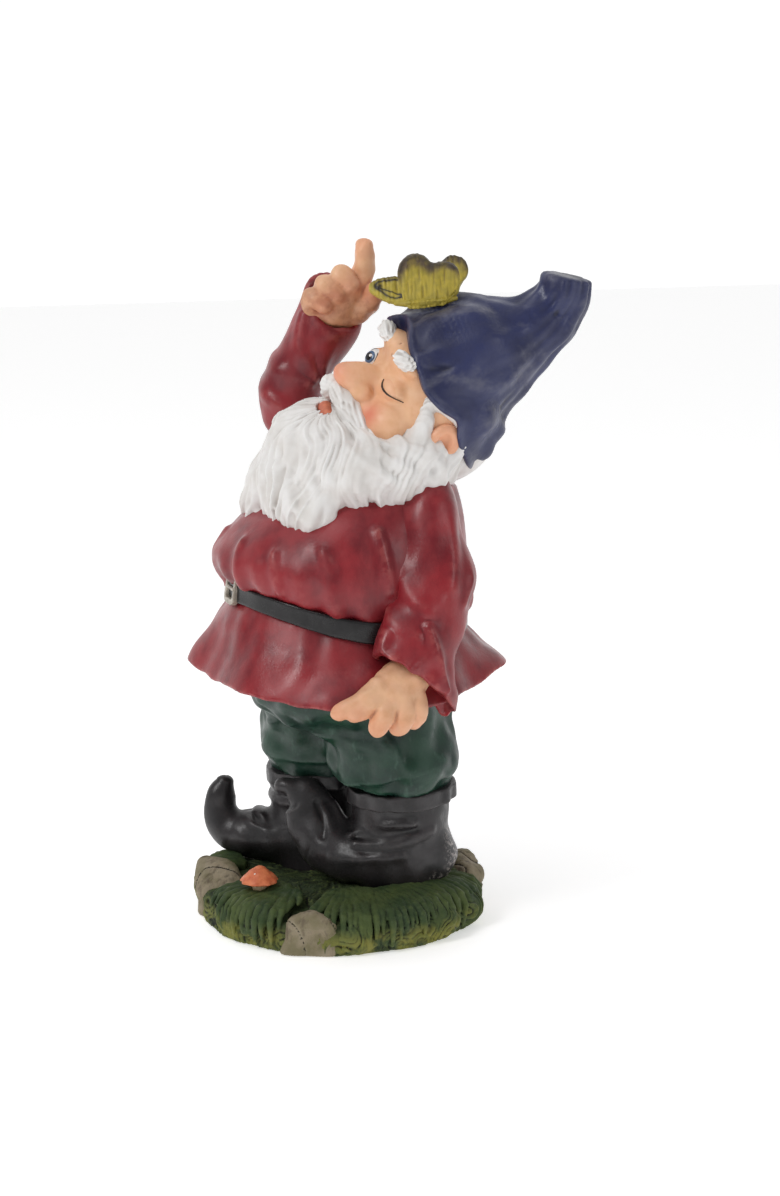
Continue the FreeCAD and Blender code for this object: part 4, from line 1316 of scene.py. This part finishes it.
def hair_place(p):
    """Each point's longitude and latitude on the beard; strands run out from the mouth like meridians."""
    q = p - BEARD_CENTRE
    out = length(q) + 1e-6
    along = np.clip(q @ FACE_AXIS / out, -1, 1)
    return np.arctan2(q @ SIDEWAYS, q @ ONWARD), np.arccos(along)


def strands(p):
    """Height of combed hair at each point: fine strands in wavy clumps."""
    longitude, latitude = hair_place(p)
    sway = longitude + 0.20 * np.sin(latitude * 4.2 + 1.7 * np.sin(2 * longitude)) + 0.09 * STRAND_SWAY(p)
    spread = 44.0
    flow = np.stack([spread * np.cos(sway), spread * np.sin(sway), latitude * spread], 1)
    return 0.34 * STRAND_NOISE(flow) - 0.8 * np.abs(CLUMP_NOISE(flow)) + 0.5


def lock_line(longitude, start, end, base, curl, seed):
    """One lock of hair that lies on the beard from latitude start to end, ending in a curl."""
    random = np.random.default_rng(seed)
    points = []
    for t in np.linspace(0, 1, 10):
        latitude = start + (end - start) * t
        around = longitude + 0.13 * math.sin(5.0 * t + seed) + curl * t**3
        direction = (math.cos(latitude) * FACE_AXIS
                     + math.sin(latitude) * (math.cos(around) * ONWARD + math.sin(around) * SIDEWAYS))
        outs = np.linspace(75, 8, 90)
        d = base(BEARD_CENTRE + outs[:, None] * direction)
        out = outs[np.argmax(d < 0)] if (d < 0).any() else 20
        lift = -1.4 + 1.3 * math.sin(math.pi * t * 0.8) + 2.0 * t**3
        points.append(BEARD_CENTRE + (out + lift) * direction)
    thick = np.interp(np.linspace(0, 1, 10), [0, 0.3, 0.7, 1], [1.4, 2.8, 2.6, 0.8])
    return np.array(points), thick * random.uniform(0.75, 1.15)


# tapering rods on each side of the head, as (left, out, up, radius): before the ear twice, over it, behind it
SIDEBURNS = [
    [(31, 21, 12, 2.5), (35, 19.5, 3, 4.5), (37.5, 18, -7, 6.0), (37, 18, -17, 6.0), (34, 18, -28, 5.0)],
    [(33, 20, 14, 3.0), (36.5, 13, 14.5, 3.6), (39, 5.5, 13, 3.6), (40.5, -1, 8, 3.0)],
    [(36, 19, 4, 3.0), (38.5, 18, -5, 4.5), (39.5, 18, -14, 5.0), (38, 16, -24, 5.5), (36, 14, -32, 5.0)],
    [(41, -4, 0, 3.0), (41.5, -4, -9, 4.0), (41.5, -3, -18, 4.5), (41, 0, -27, 5.5), (38, 6, -34, 6.0)],
]
LIP_LINE = [(-9, 49, -27, 2.6), (-3, 53.5, -26.5, 4.2), (4, 53.5, -28, 4.6), (9, 53.5, -31.5, 3.8),
            (13, 50.5, -34.5, 1.8)]


def make_beard(hair):
    """A beard in rows of curling locks, with sideburns, hair at the nape and a hollow for the mouth."""
    base = joined(10, *(blob(*b) for b in BEARD))
    random = np.random.default_rng(110)
    locks = []
    for row, (start, end, count) in enumerate(LOCK_ROWS):
        for i in range(count):
            longitude = 2 * math.pi * (i + 0.5 * row + random.uniform(-0.3, 0.3)) / count
            stretch = random.uniform(-0.12, 0.16)
            curl = random.uniform(-0.35, 0.35)
            locks.append(lock_line(longitude, start, end + stretch, base, curl, 200 + 50 * row + i))
    rods = [head_rod(line, side) for line in SIDEBURNS for side in (-1, 1)]
    sideburns = with_tubes(with_tubes(base, locks, 3.0), rods, 3)
    nape = head_blob((0, -4, -4), (39.5, 37.2, 40))
    mouth = joined(2, head_blob((2, 55, -27.5), (8.5, 5, 4.4)), head_blob((9.5, 50, -33), (6.5, 6, 4.8)))
    low, high, _ = node_box("beard")

    def distance(p):
        return smooth_max(smooth_min(sideburns(p), nape(p), 4) - strands(p), -mouth(p), 2)

    def tint(p):
        return 0.9 * np.exp(-(length(to_head(p) - (0, 46, -34)) / 12) ** 2)

    sculpt("beard_hair", distance, low - 9, high + (9, 18, 14), 0.72, hair, "hair_white", ["beard"], 1.0,
           {"tint": tint})


def untinted(p):
    return 0 * p[:, 0]


def make_moustache(hair):
    for name, side, proud in (("moustache_left", 1, 0), ("moustache_right", -1, 4)):
        line = [(side * 1.5, 57, -11.5, 4.2), (side * 5.5, 53 + proud, -13.5, 6.2),
                (side * 10, 47.5 + proud, -17, 7.0), (side * 14.5, 43.5 + proud, -20, 7.6),
                (side * 20, 39.5, -22, 7.8), (side * 26, 36, -21.5, 6.4), (side * 31, 33, -19, 3.2)]
        points, radii = head_rod(spline(line, 24))
        comb = Waves(2.6, 120 + side)
        axis = HEAD_TURN @ np.array((side * 0.86, 0.28, -0.42))

        def half(p, points=points, radii=radii, comb=comb, axis=axis):
            flow = p - 0.86 * (p @ axis)[:, None] * axis
            return tube_distance(p, points, radii) - 0.32 * comb(flow) + 0.5 * np.abs(CLUMP_NOISE(flow))

        low, high, _ = node_box(name)
        sculpt(name + "_hair", half, low - 7, high + 7, 0.6, hair, "hair_white", [name], 0.9,
               {"tint": untinted})


def make_eyebrows(hair):
    for name, side in (("eyebrow_left", 1), ("eyebrow_right", -1)):
        centre = (side * 14.5, 38.8, 22.5)
        tuft_body = joined(3, head_blob(centre, (7.8, 4.6, 4.0)),
                           head_blob((side * 19.5, 37.5, 24.0), (5, 4.2, 3.2)))
        comb = Waves(2.2, 130 + side)
        axis = HEAD_TURN @ np.array((side * 0.95, 0.1, 0.3))

        def brow(p, tuft_body=tuft_body, comb=comb, axis=axis):
            flow = p - 0.75 * (p @ axis)[:, None] * axis
            return tuft_body(p) - 0.45 * comb(flow)

        middle = on_head(*centre)
        sculpt(name + "_hair", brow, middle - 14, middle + 14, 0.5, hair, "hair_white", [name], 0.8,
               {"tint": untinted})


def make_lip():
    line, thick = head_rod(LIP_LINE)
    sculpt("lower_lip_skin", lambda p: tube_distance(p, line, thick), line.min(0) - 7, line.max(0) + 7, 0.5,
           lip_paint(), "lip", ["lower_lip"], 0.9)


# ---------------------------------------------------------------- hat
HAT = [(10, 35, 286, 47.5, 47), (14, 47, 294, 47.5, 46.5), (17.5, 57, 302.5, 45, 42.5),
       (22, 69, 312, 39.5, 38), (29, 89, 321.5, 27, 27), (34, 102, 329.5, 18.5, 19.5),
       (37.5, 111, 339, 14, 15.5), (40, 116.5, 348.5, 13, 14), (41.5, 118.5, 358, 11.5, 12.5)]
BRIM_MIDDLE, BRIM_FACING = np.array((14, 47, 293.5)), np.array((0.22, 0.856, 0.469))
HAT_SIDE = (0.9, -0.1, -0.4)
BROW_SIDE = np.array((-0.17, -0.44, 0.88))
NEAR_SIDE = np.cross(BRIM_FACING, BROW_SIDE)
HAT_FOLDS = [
    [(50, 30, 318), (48, 50, 320), (46, 72, 318)], [(58, 44, 304), (58, 62, 302), (54, 80, 306)],
    [(40, 96, 318), (44, 84, 300), (46, 72, 286)], [(48, 112, 332), (46, 104, 322), (44, 92, 306)],
    [(24, 112, 346), (36, 100, 346), (46, 98, 336)], [(30, 70, 346), (40, 84, 340), (46, 98, 330)],
]
HAT_CREASES = [[(54, 36, 312), (54, 54, 312), (50, 76, 312)], [(50, 108, 338), (44, 106, 330), (36, 98, 326)],
               [(42, 100, 322), (46, 88, 304), (50, 76, 290)]]
HAT_LUMPS, HAT_PLEATS = Waves(24, 140), Waves(17, 141)


def brim_setback(q):
    """How far the brim is pushed back from its plane: it is lifted off his left brow and left ear."""
    up, near = q @ BROW_SIDE, q @ NEAR_SIDE
    brow = 8.5 * np.exp(-((up - 43) / 11) ** 2) * ramp(near, -6, 13)
    ear = 5.0 * np.exp(-((up + 16) / 7) ** 2) * ramp(near, 10, 30)
    temple = -2.5 * np.exp(-((up - 6) / 9) ** 2) * ramp(near, 10, 30)
    return brow + ear + temple


def behind_brim(p):
    """How far each point lies behind the brim, towards the tip of the hat."""
    q = p - BRIM_MIDDLE
    return q @ BRIM_FACING - brim_setback(q)


def make_hat():
    """A drooping cone with a rolled brim, pleated and creased towards its tip."""
    cone = Sweep(HAT, HAT_SIDE, samples=90, round_ends=(False, False), corner=6)

    def shape(s, angle, p):
        behind = behind_brim(p)
        rolled = np.exp(-((behind - 1.5) / 2.6) ** 2)
        pleats = HAT_PLEATS(round_axis(angle, 40, 45 * s))
        return (1.2 * HAT_LUMPS(p) + 0.9 * pleats) * ramp(behind, 2, 16) + 1.3 * rolled

    def distance(p):
        d = cone(p, shape) - creases(p, HAT_FOLDS, 4.2, 2.0) + creases(p, HAT_CREASES, 2.6, 1.3)
        return smooth_max(d, -behind_brim(p), 2.2)

    low, high, _ = node_box("hat")
    sculpt("hat_cloth", distance, low - 7, high + 7, 0.95, hat_paint(), "hat_blue", ["hat"], 2.0)


# ---------------------------------------------------------------- butterfly
PERCH = np.array((23.0, 41.0, 341.5))
INSECT_BACK = np.array((0.30, 0.95, 0.08)) / np.linalg.norm((0.30, 0.95, 0.08))
WINGS = {
    # node: direction out to the wing tips, and the lobes as (along the back, out, half length, half height)
    "butterfly_wings_left": ((0.30, -0.12, 0.95),
                             [(-3, 16, 9.5, 13.5), (-1, 8, 9, 9), (11.5, 14, 9, 8.5), (10, 8, 9, 6)]),
    "butterfly_wings_right": ((-0.62, -0.30, 0.62),
                              [(-13, 7.5, 10, 8), (-20.5, 10.5, 7.5, 4.8), (14, 9, 7, 9),
                               (18.5, 17, 8, 7.5)]),
}
# dark spots on the open wing, as (along the back, out, size)
WING_SPOTS = ((-22, 10.5, 1.5), (-10, 3, 2.2))


def make_wing(name, outward, lobes, coat):
    """A thin ribbed wing whose outline is a few lobes melted together."""
    root, rib = PERCH + (0, 0, 3.5), Waves(2.2, 150)
    out = np.array(outward, float)
    out -= out @ INSECT_BACK * INSECT_BACK
    out /= np.linalg.norm(out)
    normal = np.cross(INSECT_BACK, out)

    def flat(p):
        """Each point's place along the back, out to the tips, and off the wing."""
        q = p - root
        return q @ INSECT_BACK, q @ out, q @ normal

    def outline(a, b):
        d = None
        for x, y, wide, tall in lobes:
            lobe = (np.hypot((a - x) / wide, (b - y) / tall) - 1) * min(wide, tall)
            d = lobe if d is None else smooth_min(d, lobe, 4)
        foot = np.hypot(np.maximum(np.abs(a - 2) - 8, 0), b - 1) - 3.5
        return smooth_min(d, foot, 5)

    def wing(p):
        a, b, c = flat(p)
        curled = c - 0.012 * (b - 8) ** 2
        thin = np.abs(curled) - 1.0 - 0.35 * rib(np.stack([a * 1.6, b * 0.15, 0 * a], 1))
        return rounded_box([outline(a, b) + 0.9, thin], 0.9) * 0.9

    def edge(p):
        a, b, _ = flat(p)
        return ramp(outline(a, b) + 0.45 * (b - 14), -4.5, 1.5) * ramp(b, 9, 17)

    def dark(p):
        """A thin dark rim and, on the wing that lies open, veins and two spots."""
        a, b, _ = flat(p)
        rim = np.exp(-((outline(a, b) + 0.6) / 1.1) ** 2) * ramp(b, 14, 19) * 0.6
        if name != "butterfly_wings_right":
            return rim
        veins = np.exp(-((outline(a, b) + 2.2) / 0.6) ** 2) * (a < -10)
        veins = veins + np.exp(-((b - 6 + 0.5 * (a + 16)) / 0.6) ** 2) * (a < -10) * (a > -24)
        spots = sum(np.exp(-(np.hypot(a - x, b - y) / size) ** 2) for x, y, size in WING_SPOTS)
        return np.clip(rim + veins + spots, 0, 1)

    low, high, _ = node_box(name)
    sculpt(name + "_wing", wing, low - (9, 16, 9), high + (9, 9, 12), 0.45, coat, "butterfly_yellow", [name],
           0.8, {"edge": edge, "dark": dark})


def make_butterfly():
    coat = wing_paint()
    for name, (outward, lobes) in WINGS.items():
        make_wing(name, outward, lobes, coat)
    line = np.array([PERCH + INSECT_BACK * along + (0, 0, up)
                     for along, up in ((-14, 4), (-9, 4), (0, 3.5), (10, 3), (18, 3.5))])
    thick = np.array([2.0, 3.0, 3.4, 2.8, 1.2])
    low, high, _ = node_box("butterfly_body")
    sculpt("butterfly_body_shape", lambda p: tube_distance(p, line, thick), low - 6, high + 4, 0.5, coat,
           "butterfly_yellow", ["butterfly_body"], 0.8,
           {"edge": lambda p: 0 * p[:, 0], "dark": lambda p: 0 * p[:, 0] + 0.1})


# ---------------------------------------------------------------- light, floor and camera
def make_world():
    """A pale studio that is brightest behind the figure as the camera sees it."""
    world = bpy.data.worlds.new("studio")
    bpy.context.scene.world = world
    world.use_nodes = True
    tree = world.node_tree
    background = tree.nodes["Background"]
    background.inputs["Color"].default_value = (1.0, 1.0, 1.0, 1)
    ahead = tree.nodes.new("ShaderNodeVectorMath")
    ahead.operation = "DOT_PRODUCT"
    ahead.inputs[1].default_value = -camera_axes()[2]
    bright = tree.nodes.new("ShaderNodeMapRange")
    bright.interpolation_type = "SMOOTHSTEP"
    for socket, value in (("From Min", -0.3), ("From Max", 0.75), ("To Min", 0.3), ("To Max", 1.06)):
        bright.inputs[socket].default_value = value
    tree.links.new(tree.nodes.new("ShaderNodeTexCoord").outputs["Generated"], ahead.inputs[0])
    tree.links.new(ahead.outputs["Value"], bright.inputs["Value"])
    tree.links.new(bright.outputs["Result"], background.inputs["Strength"])


def make_floor():
    corners = [(x * FLOOR_REACH, y * FLOOR_REACH, 0) for x, y in ((-1, -1), (1, -1), (1, 1), (-1, 1))]
    floor = build_mesh("floor", np.array(corners), np.array([(0, 1, 2, 3)]))
    material = bpy.data.materials.new("floor_white")
    material.use_nodes = True
    shader = material.node_tree.nodes["Principled BSDF"]
    shader.inputs["Base Color"].default_value = (0.9, 0.9, 0.9, 1)
    shader.inputs["Roughness"].default_value = 0.7
    shader.inputs["Emission Color"].default_value = (1, 1, 1, 1)
    shader.inputs["Emission Strength"].default_value = 0.45
    floor.data.materials.append(material)


# the camera stands on his left, a little above him, and looks past his middle; lengths are in metres
CAMERA_AZIMUTH, CAMERA_ELEVATION, CAMERA_DISTANCE = math.radians(70), math.radians(12), 1.3
CAMERA_LENS = 70.6
AIM_HEIGHT, AIM_RIGHT = 0.1805, 0.029
LIT_HEIGHT = 0.18


def camera_axes():
    a, e = CAMERA_AZIMUTH, CAMERA_ELEVATION
    right = Vector((math.cos(a), math.sin(a), 0))
    back = Vector((math.sin(a) * math.cos(e), -math.cos(a) * math.cos(e), math.sin(e)))
    return right, back.cross(right), back


def make_camera():
    right, up, back = camera_axes()
    target = Vector((0, 0, AIM_HEIGHT)) + AIM_RIGHT * right
    camera = bpy.data.objects.new("camera", bpy.data.cameras.new("camera"))
    camera.data.lens = CAMERA_LENS
    camera.matrix_world = Matrix((
        (right.x, up.x, back.x, 0), (right.y, up.y, back.y, 0), (right.z, up.z, back.z, 0), (0, 0, 0, 1)))
    camera.location = target + CAMERA_DISTANCE * back
    bpy.context.scene.collection.objects.link(camera)
    bpy.context.scene.camera = camera


def area_light(name, sideways, upward, nearer, size, watts):
    """A soft box aimed at the figure, placed in metres from its middle along the camera's axes."""
    right, _, back = camera_axes()
    light = bpy.data.lights.new(name, "AREA")
    light.shape, light.size, light.size_y, light.energy = "RECTANGLE", size[0], size[1], watts
    lamp = bpy.data.objects.new(name, light)
    middle = Vector((0, 0, LIT_HEIGHT))
    lamp.location = middle + sideways * right + upward * Vector((0, 0, 1)) + nearer * back
    lamp.rotation_euler = (middle - lamp.location).to_track_quat("-Z", "Y").to_euler()
    bpy.context.scene.collection.objects.link(lamp)


def make_lights():
    area_light("key_left", -1.1, 1.1, 1.0, (0.5, 0.9), 13)
    area_light("fill_right", 1.2, 0.5, 1.0, (0.5, 0.9), 3)
    area_light("top", -0.3, 1.6, 0.2, (0.8, 0.8), 3.5)


skin, hair, red_cloth = skin_paint(), hair_paint(), coat_paint()
make_ground()
make_stones()
make_grass()
make_mushroom()
make_boots()
make_trousers()
make_skirt(red_cloth)
make_body(red_cloth)
make_belt()
make_buckle()
for hand_side in SLEEVES:
    make_sleeve(hand_side, red_cloth)
    make_hand(hand_side, skin)
make_head(skin)
make_ears(skin)
make_eyes()
make_eyelids(skin)
make_beard(hair)
make_moustache(hair)
make_eyebrows(hair)
make_lip()
make_hat()
make_butterfly()
make_world()
make_floor()
make_camera()
make_lights()
bpy.context.scene.view_settings.view_transform = "Standard"
